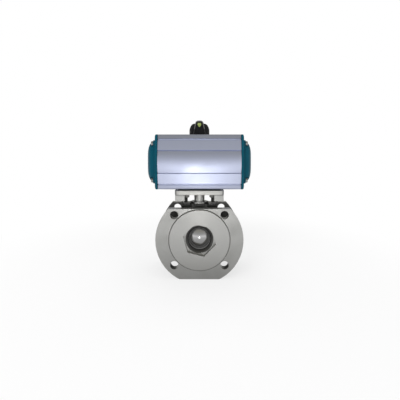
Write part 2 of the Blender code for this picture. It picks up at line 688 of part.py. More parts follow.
def make_mounting():
    nut_top = PAD_LOW + SPOT_FACE_DEPTH - CLEARANCE
    stud_top = ACTUATOR_RISE - BODY_HALF_HEIGHT + STUD_ENGAGEMENT
    stud_low = nut_top - NUT_HEIGHT - STUD_TAIL
    for number, corner in enumerate(mirrored_corners(STUD_OFFSET, STUD_OFFSET), 1):
        piece(f"mounting_stud_{number}", rod(STUD_RADIUS, stud_low, stud_top, 12, "Z", corner), DARK_STEEL, VALVE)
        outline = hexagon(NUT_ACROSS_FLATS, 0.0, corner)
        nut = piece(f"mounting_nut_{number}", prism(outline, nut_top - NUT_HEIGHT, nut_top), DARK_STEEL, VALVE)
        hole = rod(STUD_RADIUS + CLEARANCE, nut_top - 2 * NUT_HEIGHT, nut_top + OVERLAP, 12, "Z", corner)
        cut(nut, hole, "hole")
    ring_low = -BODY_HALF_HEIGHT - CLEARANCE - CENTRING_RING_SINK
    ring_high = -BODY_HALF_HEIGHT + CENTRING_RING_SINK
    inner = CENTRING_RING_RADIUS - CENTRING_RING_WALL
    piece("centring_ring", ring(inner, CENTRING_RING_RADIUS, ring_low, ring_high), PISTON_ALUMINIUM, ACTUATOR)


# Actuator body


def extrusion_quarter():
    """One quarter of the extrusion's outline as (y, z), from mid height up to the middle of the top."""
    radius = (BULGE_HALF_HEIGHT**2 + BULGE_RISE**2) / (2 * BULGE_RISE)
    end_angle = math.degrees(math.asin(BULGE_HALF_HEIGHT / radius))
    bulge = arc((BODY_HALF_DEPTH - radius, 0), radius, 0, end_angle, 4)
    edge = bulge[-1][0]
    band = edge + BAND_PROUD
    band_end = band - BAND_SLOPE
    corner_start = band_end - BAND_SLOPE / 4
    corner_end = corner_start - CORNER_BAND_SLOPE
    step = [(edge - STEP_DEPTH, BULGE_HALF_HEIGHT + STEP_WIDTH / 2), (band, BULGE_HALF_HEIGHT + STEP_WIDTH)]
    groove = [
        (band_end, GROOVE_HEIGHT),
        (band_end - GROOVE_DEPTH, GROOVE_HEIGHT + GROOVE_WIDTH / 4),
        (band_end - GROOVE_DEPTH, GROOVE_HEIGHT + GROOVE_WIDTH * 3 / 4),
        (corner_start, GROOVE_HEIGHT + GROOVE_WIDTH),
    ]
    corner = arc((corner_end - BODY_CORNER, BODY_HALF_HEIGHT - BODY_CORNER), BODY_CORNER, 0, 90, 4)
    return bulge + step + groove + corner


def extrusion_outline():
    quarter = extrusion_quarter()
    top_left = [(-y, z) for y, z in reversed(quarter)]
    bottom_left = [(-y, -z) for y, z in quarter[1:]]
    bottom_right = [(y, -z) for y, z in reversed(quarter[1:])]
    return quarter + top_left + bottom_left + bottom_right


def stop_screw_drilling(side):
    """The tapped hole and spot face of one travel stop, in the back of the extrusion."""
    level = STOP_CAM_LOW + STOP_CAM_THICKNESS / 2
    hole = STOP_SCREW_RADIUS + CLEARANCE
    spot = BODY_HALF_DEPTH - STOP_SPOT_DEPTH
    spot_radius = NUT_ACROSS_FLATS / math.sqrt(3) + OVERLAP
    profile = [
        (0, STOP_FACE), (hole, STOP_FACE), (hole, spot),
        (spot_radius, spot), (spot_radius, BODY_HALF_DEPTH + OVERLAP), (0, BODY_HALF_DEPTH + OVERLAP),
    ]
    return turned(profile, HOLE_SEGMENTS, "Y", (side * STOP_SCREW_OFFSET, 0, level))


def make_actuator_body():
    body = piece(
        "actuator_body", prism(extrusion_outline(), -BODY_HALF_LENGTH, BODY_HALF_LENGTH, "X"), ANODISED, ACTUATOR
    )
    pad = rectangle(-PORT_PAD_HALF_WIDTH, PORT_PAD_LOW, PORT_PAD_HALF_WIDTH, PORT_PAD_HIGH)
    join(body, prism(pad, (CYLINDER_RADIUS + BODY_HALF_DEPTH) / 2, PORT_PAD_FACE, "Y"), "port pad")
    beyond = BODY_HALF_LENGTH + OVERLAP
    cut(body, rod(CYLINDER_RADIUS, -beyond, beyond, BODY_SEGMENTS, "X"), "cylinder bore")
    over_top = BODY_HALF_HEIGHT + OVERLAP
    upper = UPPER_JOURNAL_RADIUS + BEARING_WALL + 2 * CLEARANCE
    lower = LOWER_JOURNAL_RADIUS + BEARING_WALL + 2 * CLEARANCE
    shaft_holes = [rod(upper, 0, over_top, SHAFT_SEGMENTS), rod(lower, -over_top, -HUB_RADIUS, SHAFT_SEGMENTS)]
    cut(body, gathered(shaft_holes), "pinion holes")
    cut(body, gathered([stop_screw_drilling(-1), stop_screw_drilling(1)]), "stop screw holes")
    screw_hole = CAP_SCREW_RADIUS + CLEARANCE
    inner_end = BODY_HALF_LENGTH - CAP_SCREW_REACH - OVERLAP
    drillings = [
        rod(screw_hole, min(side * inner_end, side * beyond), max(side * inner_end, side * beyond),
            HOLE_SEGMENTS, "X", corner)
        for side in (-1, 1)
        for corner in mirrored_corners(*CAP_SCREW_PLACE)
    ]
    stud_hole = STUD_ENGAGEMENT + OVERLAP - BODY_HALF_HEIGHT
    drillings += [
        rod(STUD_RADIUS + CLEARANCE, -over_top, stud_hole, HOLE_SEGMENTS, "Z", corner)
        for corner in mirrored_corners(STUD_OFFSET, STUD_OFFSET)
    ]
    drillings += [
        rod(TAPPED_M5_RADIUS, BODY_HALF_HEIGHT - TAPPED_M5_DEPTH, over_top, 12, "Z", corner)
        for corner in mirrored_corners(TOP_PATTERN_LENGTH / 2, TOP_PATTERN_WIDTH / 2)
    ]
    groove_radius = CENTRING_RING_RADIUS + CLEARANCE
    groove_core = CENTRING_RING_RADIUS - CENTRING_RING_WALL - CLEARANCE
    drillings.append(ring(groove_core, groove_radius, -over_top, CENTRING_RING_SINK + CLEARANCE - BODY_HALF_HEIGHT))
    cut(body, gathered(drillings), "tapped holes")
    port_front = PORT_PAD_FACE + OVERLAP
    port_floor = PORT_PAD_FACE - AIR_PORT_DEPTH
    ports = [
        rod(AIR_PORT_RADIUS, port_floor, port_front, HOLE_SEGMENTS, "Y", (side * AIR_PORT_SPACING / 2, AIR_PORT_HEIGHT))
        for side in (-1, 1)
    ]
    ports += [
        rod(TAPPED_M5_RADIUS, PORT_PAD_FACE - TAPPED_M5_DEPTH, port_front, 12, "Y", (x, AIR_PORT_HEIGHT + z))
        for x, z in mirrored_corners(PORT_SCREW_SPACING / 2, AIR_PORT_SPACING / 2)
    ]
    cut(body, gathered(ports), "air ports")
    duct_depth = (CYLINDER_RADIUS + PORT_PAD_FACE) / 2
    centre_duct = rod(
        AIR_DUCT_RADIUS, CYLINDER_RADIUS / 2, duct_depth, 8, "Y", (-AIR_PORT_SPACING / 2, AIR_PORT_HEIGHT)
    )
    end_duct = rod(AIR_DUCT_RADIUS, AIR_PORT_SPACING / 2, beyond, 8, "X", (duct_depth, AIR_PORT_HEIGHT))
    cut(body, gathered([centre_duct, end_duct]), "air ducts")


# End caps


def power_curve(angle, power):
    """A point of the unit superellipse."""
    c = math.cos(angle)
    s = math.sin(angle)
    return math.copysign(abs(c) ** (2 / power), c), math.copysign(abs(s) ** (2 / power), s)


def dome():
    """The cap's pillow-shaped crown, lofted along X from the plate outwards."""
    bm = bmesh.new()
    plan = [power_curve(2 * math.pi * (step + 0.5) / DOME_POINTS, DOME_PLAN_POWER) for step in range(DOME_POINTS)]
    rings = []
    for layer in range(DOME_LAYERS):
        width, rise = power_curve(math.pi / 2 * layer / DOME_LAYERS, DOME_PROFILE_POWER)
        x = CAP_PLATE_OUTER + DOME_RISE * rise if layer else CAP_PLATE_OUTER - OVERLAP
        points = [(x, DOME_HALF_DEPTH * width * y, DOME_HALF_HEIGHT * width * z) for y, z in plan]
        rings.append([bm.verts.new(point) for point in points])
    for low, high in zip(rings, rings[1:]):
        for index in range(DOME_POINTS):
            after = (index + 1) % DOME_POINTS
            bm.faces.new((low[index], low[after], high[after], high[index]))
    bm.faces.new(rings[0])
    bm.faces.new(rings[-1])
    bmesh.ops.recalc_face_normals(bm, faces=bm.faces)
    return bm


def make_end_cap(name, turn):
    """A cap modelled for +X and turned about Z for the other end."""
    plate = rounded_rectangle(PORT_PAD_FACE, BODY_HALF_HEIGHT, CAP_CORNER)
    cap = piece(name, prism(plate, CAP_INNER_FACE, CAP_PLATE_OUTER, "X"), TEAL_ENAMEL, ACTUATOR)
    join(cap, dome(), "dome")
    join(cap, rod(CAP_SPIGOT_RADIUS, CAP_INNER_FACE - CAP_SPIGOT_LENGTH, CAP_PLATE_OUTER - OVERLAP, BALL_SEGMENTS, "X"),
         "spigot")
    spigot_end = CAP_INNER_FACE - CAP_SPIGOT_LENGTH
    hollow_radius = CAP_HOLLOW_RADIUS - CAP_SPIGOT_LENGTH / 2
    hollow_end = CAP_INNER_FACE + CAP_HOLLOW_DEPTH
    cut(cap, rod(hollow_radius, spigot_end - OVERLAP, hollow_end, BALL_SEGMENTS, "X"), "hollow")
    corners = mirrored_corners(*CAP_SCREW_PLACE)
    bosses = [rod(CAP_BOSS_RADIUS, CAP_PLATE_OUTER - OVERLAP, CAP_SCREW_SEAT, HOLE_SEGMENTS, "X", c) for c in corners]
    join(cap, gathered(bosses), "screw bosses")
    far = CAP_PLATE_OUTER + DOME_RISE + OVERLAP
    pockets = [rod(CAP_POCKET_RADIUS, CAP_SCREW_SEAT, far, HOLE_SEGMENTS, "X", c) for c in corners]
    cut(cap, gathered(pockets), "screw pockets")
    hole = CAP_SCREW_RADIUS + CLEARANCE
    holes = [rod(hole, CAP_INNER_FACE - OVERLAP, CAP_SCREW_SEAT + OVERLAP, HOLE_SEGMENTS, "X", c) for c in corners]
    cut(cap, gathered(holes), "screw holes")
    turn_about_z(cap, turn)


def cap_screw(corner):
    """A low socket head screw along X, its head resting on the cap's boss."""
    head_low = CAP_SCREW_SEAT + CLEARANCE
    head_high = head_low + CAP_SCREW_HEAD_HEIGHT
    tip = BODY_HALF_LENGTH - CAP_SCREW_REACH
    profile = [
        (0, tip), (CAP_SCREW_RADIUS, tip), (CAP_SCREW_RADIUS, head_low),
        (CAP_SCREW_HEAD_RADIUS, head_low), (CAP_SCREW_HEAD_RADIUS, head_high), (0, head_high),
    ]
    return turned(profile, 12, "X", (0, *corner))


def make_ends():
    for side, turn in (("right", 0.0), ("left", math.pi)):
        make_end_cap(f"{side}_end_cap", turn)
        seal_middle = CAP_INNER_FACE - CLEARANCE - CAP_SEAL_SECTION
        seal = o_ring(CAP_SPIGOT_RADIUS + CLEARANCE, CAP_SEAL_SECTION, seal_middle, "X")
        piece(f"{side}_cap_seal", seal, RUBBER, ACTUATOR).rotation_euler.z = turn
        for number, corner in enumerate(mirrored_corners(*CAP_SCREW_PLACE), 1):
            screw = piece(f"{side}_cap_screw_{number}", cap_screw(corner), SCREW_STAINLESS, ACTUATOR)
            head_high = CAP_SCREW_SEAT + CLEARANCE + CAP_SCREW_HEAD_HEIGHT
            socket = hexagon(CAP_SCREW_HEAD_RADIUS, 0.0, corner)
            cut(screw, prism(socket, head_high - CAP_SCREW_HEAD_HEIGHT / 2, head_high + OVERLAP, "X"), "socket")
            turn_about_z(screw, turn)


# Rack and pinion


def pinion_outline():
    """Involute teeth on a 20 degree pressure angle, thinned a little for backlash."""
    base_radius = PITCH_RADIUS * math.cos(PRESSURE_ANGLE)
    tip_radius = PITCH_RADIUS + MODULE
    root_radius = PITCH_RADIUS - DEDENDUM_SHARE * MODULE
    half_at_pitch = (math.pi * MODULE / 2 - TOOTH_THINNING) / (2 * PITCH_RADIUS)

    def involute(angle):
        return math.tan(angle) - angle

    def half_tooth(radius):
        flank_angle = math.acos(min(1.0, base_radius / radius))
        return half_at_pitch + involute(PRESSURE_ANGLE) - involute(flank_angle)

    spread = [base_radius + (tip_radius - base_radius) * step / 2 for step in range(3)]
    flank = [(root_radius, half_tooth(base_radius))] + [(radius, half_tooth(radius)) for radius in spread]
    points = []
    for tooth in range(PINION_TEETH):
        middle = 2 * math.pi * tooth / PINION_TEETH
        rising = [(radius, middle - half) for radius, half in flank]
        falling = [(radius, middle + half) for radius, half in reversed(flank)]
        points += [(radius * math.cos(a), radius * math.sin(a)) for radius, a in rising + falling]
    return points


def rack_outline():
    """The left piston's rack as (x, y): its teeth face the pinion from the +Y side."""
    pitch = math.pi * MODULE
    tip_line = PITCH_RADIUS - RACK_ADDENDUM_SHARE * MODULE
    root_line = PITCH_RADIUS + DEDENDUM_SHARE * MODULE
    half_at_pitch = (pitch / 2 - TOOTH_THINNING) / 2
    slope = math.tan(PRESSURE_ANGLE)
    half_tip = half_at_pitch - RACK_ADDENDUM_SHARE * MODULE * slope
    half_root = half_at_pitch + DEDENDUM_SHARE * MODULE * slope
    start = -PISTON_INNER - OVERLAP
    end = PISTON_INNER - RACK_TIP_GAP
    points = [(start, RACK_BACK), (start, root_line)]
    for tooth in range(-RACK_TEETH_EACH_WAY, RACK_TEETH_EACH_WAY + 1):
        middle = tooth * pitch
        points += [
            (middle - half_root, root_line), (middle - half_tip, tip_line),
            (middle + half_tip, tip_line), (middle + half_root, root_line),
        ]
    return points + [(end, root_line), (end, RACK_BACK)]


def piston_profile():
    """The piston head as (radius, x), with grooves for its guide band and O-ring."""
    full = CYLINDER_RADIUS - CLEARANCE
    seal_middle = -PISTON_OUTER + PISTON_SEAL_INSET
    seal_half = PISTON_SEAL_SECTION + CLEARANCE
    seal_floor = full - 2 * PISTON_SEAL_SECTION - CLEARANCE
    band_low = -PISTON_OUTER + GUIDE_BAND_INSET
    band_high = band_low + GUIDE_BAND_WIDTH + 2 * CLEARANCE
    band_floor = full - GUIDE_BAND_DEPTH - CLEARANCE
    return [
        (0, -PISTON_OUTER), (full - EDGE_CHAMFER, -PISTON_OUTER), (full, -PISTON_OUTER + EDGE_CHAMFER),
        (full, seal_middle - seal_half), (seal_floor, seal_middle - seal_half),
        (seal_floor, seal_middle + seal_half), (full, seal_middle + seal_half),
        (full, band_low), (band_floor, band_low), (band_floor, band_high), (full, band_high),
        (full, -PISTON_INNER), (0, -PISTON_INNER),
    ]


def rack_guide_outline():
    """The sliding pad on the rack's back as (y, z), rounded to the cylinder."""
    radius = CYLINDER_RADIUS - CLEARANCE
    reach = math.degrees(math.asin(RACK_GUIDE_HALF_FACE / radius))
    outer = arc((0, 0), radius, -reach, reach, 4)
    back = RACK_BACK + CLEARANCE
    return [(back, -RACK_GUIDE_HALF_FACE)] + outer + [(back, RACK_GUIDE_HALF_FACE)]


def make_pistons():
    full = CYLINDER_RADIUS - CLEARANCE
    band_low = -PISTON_OUTER + GUIDE_BAND_INSET + CLEARANCE
    guide_start = -RACK_GUIDE_LENGTH / 3
    for side, slide in (("left", LEFT_SLIDE), ("right", RIGHT_SLIDE)):
        head = piece(f"{side}_piston", turned(piston_profile(), BODY_SEGMENTS, "X"), PISTON_ALUMINIUM, slide)
        join(head, prism(rack_outline(), -RACK_HALF_FACE, RACK_HALF_FACE), "rack")
        seal = o_ring(full - 2 * PISTON_SEAL_SECTION, PISTON_SEAL_SECTION, -PISTON_OUTER + PISTON_SEAL_INSET, "X")
        piece(f"{side}_piston_seal", seal, RUBBER, slide)
        band = ring(full - GUIDE_BAND_DEPTH, full, band_low, band_low + GUIDE_BAND_WIDTH, BODY_SEGMENTS, "X")
        piece(f"{side}_piston_guide_band", band, BEARING_PLASTIC, slide)
        guide = prism(rack_guide_outline(), guide_start, guide_start + RACK_GUIDE_LENGTH, "X")
        piece(f"{side}_rack_guide", guide, BEARING_PLASTIC, slide)


def make_pinion():
    """Pinion shaft: square socket below, teeth, cam seat, upper journal and indicator end."""
    gear_low = -RACK_HALF_FACE - CLEARANCE
    cam_seat = STOP_CAM_LOW - CLEARANCE
    clip = UPPER_JOURNAL_RADIUS - CIRCLIP_GROOVE_DEPTH
    clip_low = CIRCLIP_LOW - CLEARANCE
    clip_high = CIRCLIP_LOW + CIRCLIP_THICKNESS + CLEARANCE
    hub = PITCH_RADIUS - DEDENDUM_SHARE * MODULE - CLEARANCE
    profile = [
        (0, PINION_FOOT), (LOWER_JOURNAL_RADIUS, PINION_FOOT), (LOWER_JOURNAL_RADIUS, LOWER_JOURNAL_TOP),
        (HUB_RADIUS, LOWER_JOURNAL_TOP), (HUB_RADIUS, gear_low), (hub, gear_low),
        (hub, -gear_low), (HUB_RADIUS, -gear_low), (HUB_RADIUS, cam_seat),
        (UPPER_JOURNAL_RADIUS, cam_seat), (UPPER_JOURNAL_RADIUS, clip_low), (clip, clip_low),
        (clip, clip_high), (UPPER_JOURNAL_RADIUS, clip_high),
        (UPPER_JOURNAL_RADIUS, PINION_TOP), (0, PINION_TOP),
    ]
    pinion = piece("pinion", turned(profile, SHAFT_SEGMENTS), NICKEL_STEEL, PINION_PIVOT)
    join(pinion, prism(pinion_outline(), -GEAR_HALF_FACE, GEAR_HALF_FACE), "teeth")
    half = SQUARE_SIZE / 2 + CLEARANCE
    socket = prism(rectangle(-half, -half, half, half), PINION_FOOT - OVERLAP, PINION_FOOT + SOCKET_DEPTH)
    tapped = PINION_TOP - INDICATOR_SCREW_LENGTH
    screw_hole = rod(INDICATOR_SCREW_RADIUS + CLEARANCE, tapped, PINION_TOP + OVERLAP)
    cut(pinion, gathered([socket, screw_hole]), "socket and tapped end")


def stop_cam_outline():
    """The cam as (x, y) at rest: one flat meets the left stop when shut, the other the right stop when open."""
    core_end = math.degrees(math.asin(STOP_FACE / STOP_CAM_CORE_RADIUS))
    lobe_end = math.degrees(math.asin(STOP_FACE / STOP_CAM_RADIUS))
    core = arc((0, 0), STOP_CAM_CORE_RADIUS, core_end - 90, 180 - core_end, 10)
    lobe = arc((0, 0), STOP_CAM_RADIUS, 180 - lobe_end, 270 + lobe_end, 10)
    return core + lobe


def make_pinion_fittings():
    bearing_inner = UPPER_JOURNAL_RADIUS + CLEARANCE
    top = BODY_HALF_HEIGHT - CLEARANCE
    upper = ring(bearing_inner, bearing_inner + BEARING_WALL, top - UPPER_BEARING_LENGTH, top)
    piece("upper_pinion_bearing", upper, BEARING_PLASTIC, ACTUATOR)
    bearing_inner = LOWER_JOURNAL_RADIUS + CLEARANCE
    lower = ring(bearing_inner, bearing_inner + BEARING_WALL, PINION_FOOT, PINION_FOOT + LOWER_BEARING_LENGTH)
    piece("lower_pinion_bearing", lower, BEARING_PLASTIC, ACTUATOR)
    cam_top = STOP_CAM_LOW + STOP_CAM_THICKNESS
    cam = piece("stop_cam", prism(stop_cam_outline(), STOP_CAM_LOW, cam_top), NICKEL_STEEL, PINION_PIVOT)
    bore = UPPER_JOURNAL_RADIUS + CLEARANCE
    cut(cam, rod(bore, STOP_CAM_LOW - OVERLAP, cam_top + OVERLAP, SHAFT_SEGMENTS), "bore")
    washer = ring(bore, RETAINER_WASHER_RADIUS, RETAINER_LOW, RETAINER_LOW + RETAINER_WASHER_THICKNESS)
    piece("pinion_thrust_washer", washer, BEARING_PLASTIC, ACTUATOR)
    clip_inner = UPPER_JOURNAL_RADIUS - CIRCLIP_GROOVE_DEPTH + CLEARANCE
    clip_top = CIRCLIP_LOW + CIRCLIP_THICKNESS
    clip = piece("pinion_circlip", ring(clip_inner, CIRCLIP_RADIUS, CIRCLIP_LOW, clip_top), DARK_STEEL, PINION_PIVOT)
    mouth = [(0, 0)] + arc((0, 0), 2 * CIRCLIP_RADIUS, -math.degrees(CIRCLIP_GAP_ANGLE) / 2,
                           math.degrees(CIRCLIP_GAP_ANGLE) / 2, 2)
    cut(clip, prism(mouth, CIRCLIP_LOW - OVERLAP, clip_top + OVERLAP), "mouth")


def make_stops():
    level = STOP_CAM_LOW + STOP_CAM_THICKNESS / 2
    nut_seat = BODY_HALF_DEPTH - STOP_SPOT_DEPTH + CLEARANCE
    for name, side in (("closed", -1), ("open", 1)):
        across = (side * STOP_SCREW_OFFSET, level)
        tip = STOP_FACE + CLEARANCE
        screw = rod(STOP_SCREW_RADIUS, tip, STOP_SCREW_END, 12, "Y", across)
        piece(f"{name}_stop_screw", screw, SCREW_STAINLESS, ACTUATOR)
        outline = hexagon(NUT_ACROSS_FLATS, 0.0, across)
        nut = piece(f"{name}_stop_nut", prism(outline, nut_seat, nut_seat + STOP_NUT_HEIGHT, "Y"), SCREW_STAINLESS,
                    ACTUATOR)
        hole = rod(STOP_SCREW_RADIUS + CLEARANCE, nut_seat - OVERLAP, nut_seat + 2 * STOP_NUT_HEIGHT, 12, "Y", across)
        cut(nut, hole, "hole")


# Position indicator


def indicator_profile(proud, low):
    """Half section of the half-ellipsoid dome above a level, with its top as (radius, z)."""
    points = [(0, INDICATOR_FOOT + low)]
    start = math.asin(low / INDICATOR_HEIGHT)
    for step in range(INDICATOR_STEPS):
        angle = start + (math.pi / 2 - start) * step / INDICATOR_STEPS
        radius = INDICATOR_RADIUS * math.cos(angle) + proud
        points.append((radius, INDICATOR_FOOT + INDICATOR_HEIGHT * math.sin(angle) + proud * math.sin(angle)))
    return points + [(0, INDICATOR_FOOT + INDICATOR_HEIGHT + proud)]


def make_indicator():
    """Black dome over the pinion's end, with a raised band across it and one screw."""
    screw_hole = INDICATOR_SCREW_RADIUS + CLEARANCE
    beyond = INDICATOR_FOOT + INDICATOR_HEIGHT + 2 * OVERLAP
    dome_piece = piece("position_indicator", turned(indicator_profile(0.0, 0.0), SHAFT_SEGMENTS), BLACK_PLASTIC,
                       PINION_PIVOT)
    hollow = [
        (0, INDICATOR_FOOT - OVERLAP),
        (INDICATOR_SKIRT_HOLLOW_RADIUS, INDICATOR_FOOT - OVERLAP),
        (INDICATOR_SKIRT_HOLLOW_RADIUS, INDICATOR_FOOT + INDICATOR_SKIRT_HOLLOW),
        (UPPER_JOURNAL_RADIUS + CLEARANCE, INDICATOR_FOOT + INDICATOR_SKIRT_HOLLOW),
        (UPPER_JOURNAL_RADIUS + CLEARANCE, PINION_TOP + CLEARANCE),
        (screw_hole, PINION_TOP + CLEARANCE),
        (screw_hole, beyond),
        (0, beyond),
    ]
    cut(dome_piece, turned(hollow, SHAFT_SEGMENTS), "hollow")
    half = INSERT_BAND_HALF_WIDTH + CLEARANCE
    floor = INDICATOR_FOOT + INSERT_BAND_FLOOR
    reach = INDICATOR_RADIUS + OVERLAP
    cut(dome_piece, prism(rectangle(-half, floor, half, beyond), -reach, reach, "Y"), "band slot")
    band = piece(
        "indicator_insert",
        turned(indicator_profile(INSERT_BAND_PROUD, INSERT_BAND_FLOOR + CLEARANCE), SHAFT_SEGMENTS),
        BLACK_PLASTIC, PINION_PIVOT,
    )
    slab = rectangle(-INSERT_BAND_HALF_WIDTH, floor, INSERT_BAND_HALF_WIDTH, beyond)
    keep_inside(band, prism(slab, -reach, reach, "Y"), "sides")
    head_seat = INDICATOR_FOOT + INDICATOR_HEIGHT - INDICATOR_SCREW_HEAD_HEIGHT
    recess = INDICATOR_SCREW_HEAD_RADIUS + CLEARANCE
    screw_cut = [
        (0, floor - OVERLAP), (screw_hole, floor - OVERLAP), (screw_hole, head_seat),
        (recess, head_seat), (recess, beyond), (0, beyond),
    ]
    cut(band, turned(screw_cut, HOLE_SEGMENTS), "screw hole")
    head_low = head_seat + CLEARANCE
    head_top = head_low + INDICATOR_SCREW_HEAD_HEIGHT
    tip = head_low - INDICATOR_SCREW_LENGTH
    screw = [
        (0, tip), (INDICATOR_SCREW_RADIUS, tip), (INDICATOR_SCREW_RADIUS, head_low),
        (INDICATOR_SCREW_HEAD_RADIUS, head_low), (INDICATOR_SCREW_HEAD_RADIUS, head_top), (0, head_top),
    ]
    piece("indicator_screw", turned(screw, HOLE_SEGMENTS), SCREW_STAINLESS, PINION_PIVOT)


make_valve_body()
make_insert()
make_seats()
make_ball()
make_stem()
make_gland()
make_mounting()
make_actuator_body()
make_ends()
make_pistons()
make_pinion()
make_pinion_fittings()
make_stops()
make_indicator()
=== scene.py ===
"""Looks of a compact flanged ball valve turned by a rack-and-pinion pneumatic actuator.

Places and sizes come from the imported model. The front flange faces -Y, +Z is up, all in metres.
"""

import math

import bmesh
import bpy
from mathutils import Matrix, Vector


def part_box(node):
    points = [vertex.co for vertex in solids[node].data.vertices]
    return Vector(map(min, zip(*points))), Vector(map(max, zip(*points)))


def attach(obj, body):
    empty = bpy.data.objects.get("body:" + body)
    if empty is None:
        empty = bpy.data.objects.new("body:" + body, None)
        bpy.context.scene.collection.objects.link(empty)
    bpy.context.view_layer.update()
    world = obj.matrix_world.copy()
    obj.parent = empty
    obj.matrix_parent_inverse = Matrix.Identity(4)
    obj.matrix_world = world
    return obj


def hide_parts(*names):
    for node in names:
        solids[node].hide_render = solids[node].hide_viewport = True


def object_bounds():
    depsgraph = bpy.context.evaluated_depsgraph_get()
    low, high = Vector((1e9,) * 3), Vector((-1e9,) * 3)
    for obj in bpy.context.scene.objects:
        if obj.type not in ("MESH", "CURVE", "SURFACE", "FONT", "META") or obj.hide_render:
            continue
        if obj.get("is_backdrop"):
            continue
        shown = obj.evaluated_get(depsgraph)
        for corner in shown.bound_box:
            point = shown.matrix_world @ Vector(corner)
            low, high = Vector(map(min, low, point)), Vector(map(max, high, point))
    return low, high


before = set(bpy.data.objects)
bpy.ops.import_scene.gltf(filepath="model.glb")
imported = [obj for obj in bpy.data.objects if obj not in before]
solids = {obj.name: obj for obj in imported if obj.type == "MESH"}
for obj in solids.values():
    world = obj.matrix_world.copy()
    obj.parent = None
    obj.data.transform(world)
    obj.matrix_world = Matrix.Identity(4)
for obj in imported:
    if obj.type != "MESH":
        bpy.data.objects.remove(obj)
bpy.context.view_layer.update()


# Valve body: one stainless investment casting, shot-blasted all over. Two flange plates on a short
# barrel, a neck for the stem and an actuator pad on two legs. Its edges are slightly broken.

CAST_EDGE = 0.0006
FLAT_WITHIN = math.radians(0.4)
SHARP_FROM = math.radians(32)
BORE_HEIGHT = (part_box("body_insert")[0].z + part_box("body_insert")[1].z) / 2
BORE_CENTRE = Vector((0, 0, BORE_HEIGHT))


def add_node(tree, kind, inputs=None, **settings):
    """A shader node with its settings, and its inputs as values or as links."""
    node = tree.nodes.new(kind)
    for name, value in settings.items():
        setattr(node, name, value)
    for name, value in (inputs or {}).items():
        if isinstance(value, bpy.types.NodeSocket):
            tree.links.new(value, node.inputs[name])
        else:
            node.inputs[name].default_value = value
    return node


def group_with(name, inputs, outputs):
    """An empty effect group with named sockets: its tree, its inputs and its output node."""
    tree = bpy.data.node_groups.new(name, "ShaderNodeTree")
    for label, kind in inputs.items():
        tree.interface.new_socket(label, in_out="INPUT", socket_type="NodeSocket" + kind)
    for label, kind in outputs.items():
        tree.interface.new_socket(label, in_out="OUTPUT", socket_type="NodeSocket" + kind)
    return tree, tree.nodes.new("NodeGroupInput").outputs, tree.nodes.new("NodeGroupOutput")


def surface_grain():
    """Fine texture under slow clouds of tone; Stretch draws the texture out along an axis."""
    tree, given, result = group_with(
        "surface grain",
        {"Colour": "Color", "Shade": "Color", "Grain scale": "Float", "Cloud scale": "Float",
         "Roughness": "Float", "Roughness spread": "Float", "Stretch": "Vector"},
        {"Colour": "Color", "Roughness": "Float", "Height": "Float"},
    )
    place = add_node(tree, "ShaderNodeTexCoord").outputs["Object"]
    drawn = add_node(tree, "ShaderNodeVectorMath", {0: place, 1: given["Stretch"]}, operation="MULTIPLY")
    grain = add_node(tree, "ShaderNodeTexNoise",
                     {"Vector": drawn.outputs[0], "Scale": given["Grain scale"], "Detail": 4.0,
                      "Roughness": 0.6})
    cloud = add_node(tree, "ShaderNodeTexNoise",
                     {"Vector": place, "Scale": given["Cloud scale"], "Detail": 5.0})
    spread = add_node(tree, "ShaderNodeMapRange",
                      {"Value": cloud.outputs[0], "From Min": 0.35, "From Max": 0.65})
    both = add_node(tree, "ShaderNodeMath", {0: spread.outputs[0], 1: grain.outputs[0]}, operation="MULTIPLY")
    tone = add_node(tree, "ShaderNodeMix", {0: both.outputs[0], 6: given["Colour"], 7: given["Shade"]},
                    data_type="RGBA")
    centred = add_node(tree, "ShaderNodeMath", {0: spread.outputs[0], 1: 0.5}, operation="SUBTRACT")
    gloss = add_node(tree, "ShaderNodeMath",
                     {0: centred.outputs[0], 1: given["Roughness spread"], 2: given["Roughness"]},
                     operation="MULTIPLY_ADD")
    tree.links.new(tone.outputs[2], result.inputs["Colour"])
    tree.links.new(gloss.outputs[0], result.inputs["Roughness"])
    tree.links.new(grain.outputs[0], result.inputs["Height"])
    return tree


GRAIN = surface_grain()


def grained(name, colour, shade, roughness, spread=0.1, metallic=0.0, grain_scale=1500, cloud_scale=40,
            depth=0.00004, stretch=(1, 1, 1), **settings):
    """A finish with the grain group on it. Depth is the texture's height in metres."""
    finish = bpy.data.materials.new(name)
    finish.use_nodes = True
    tree = finish.node_tree
    shader = tree.nodes["Principled BSDF"]
    grain = add_node(tree, "ShaderNodeGroup", node_tree=GRAIN)
    values = {"Colour": (*colour, 1), "Shade": (*shade, 1), "Grain scale": grain_scale,
              "Cloud scale": cloud_scale, "Roughness": roughness, "Roughness spread": spread,
              "Stretch": stretch}
    for label, value in values.items():
        grain.inputs[label].default_value = value
    bump = add_node(tree, "ShaderNodeBump",
                    {"Height": grain.outputs["Height"], "Distance": depth, "Strength": 0.6})
    tree.links.new(grain.outputs["Colour"], shader.inputs["Base Color"])
    tree.links.new(grain.outputs["Roughness"], shader.inputs["Roughness"])
    tree.links.new(bump.outputs[0], shader.inputs["Normal"])
    shader.inputs["Metallic"].default_value = metallic
    for label, value in settings.items():
        shader.inputs[label.replace("_", " ")].default_value = value
    return finish


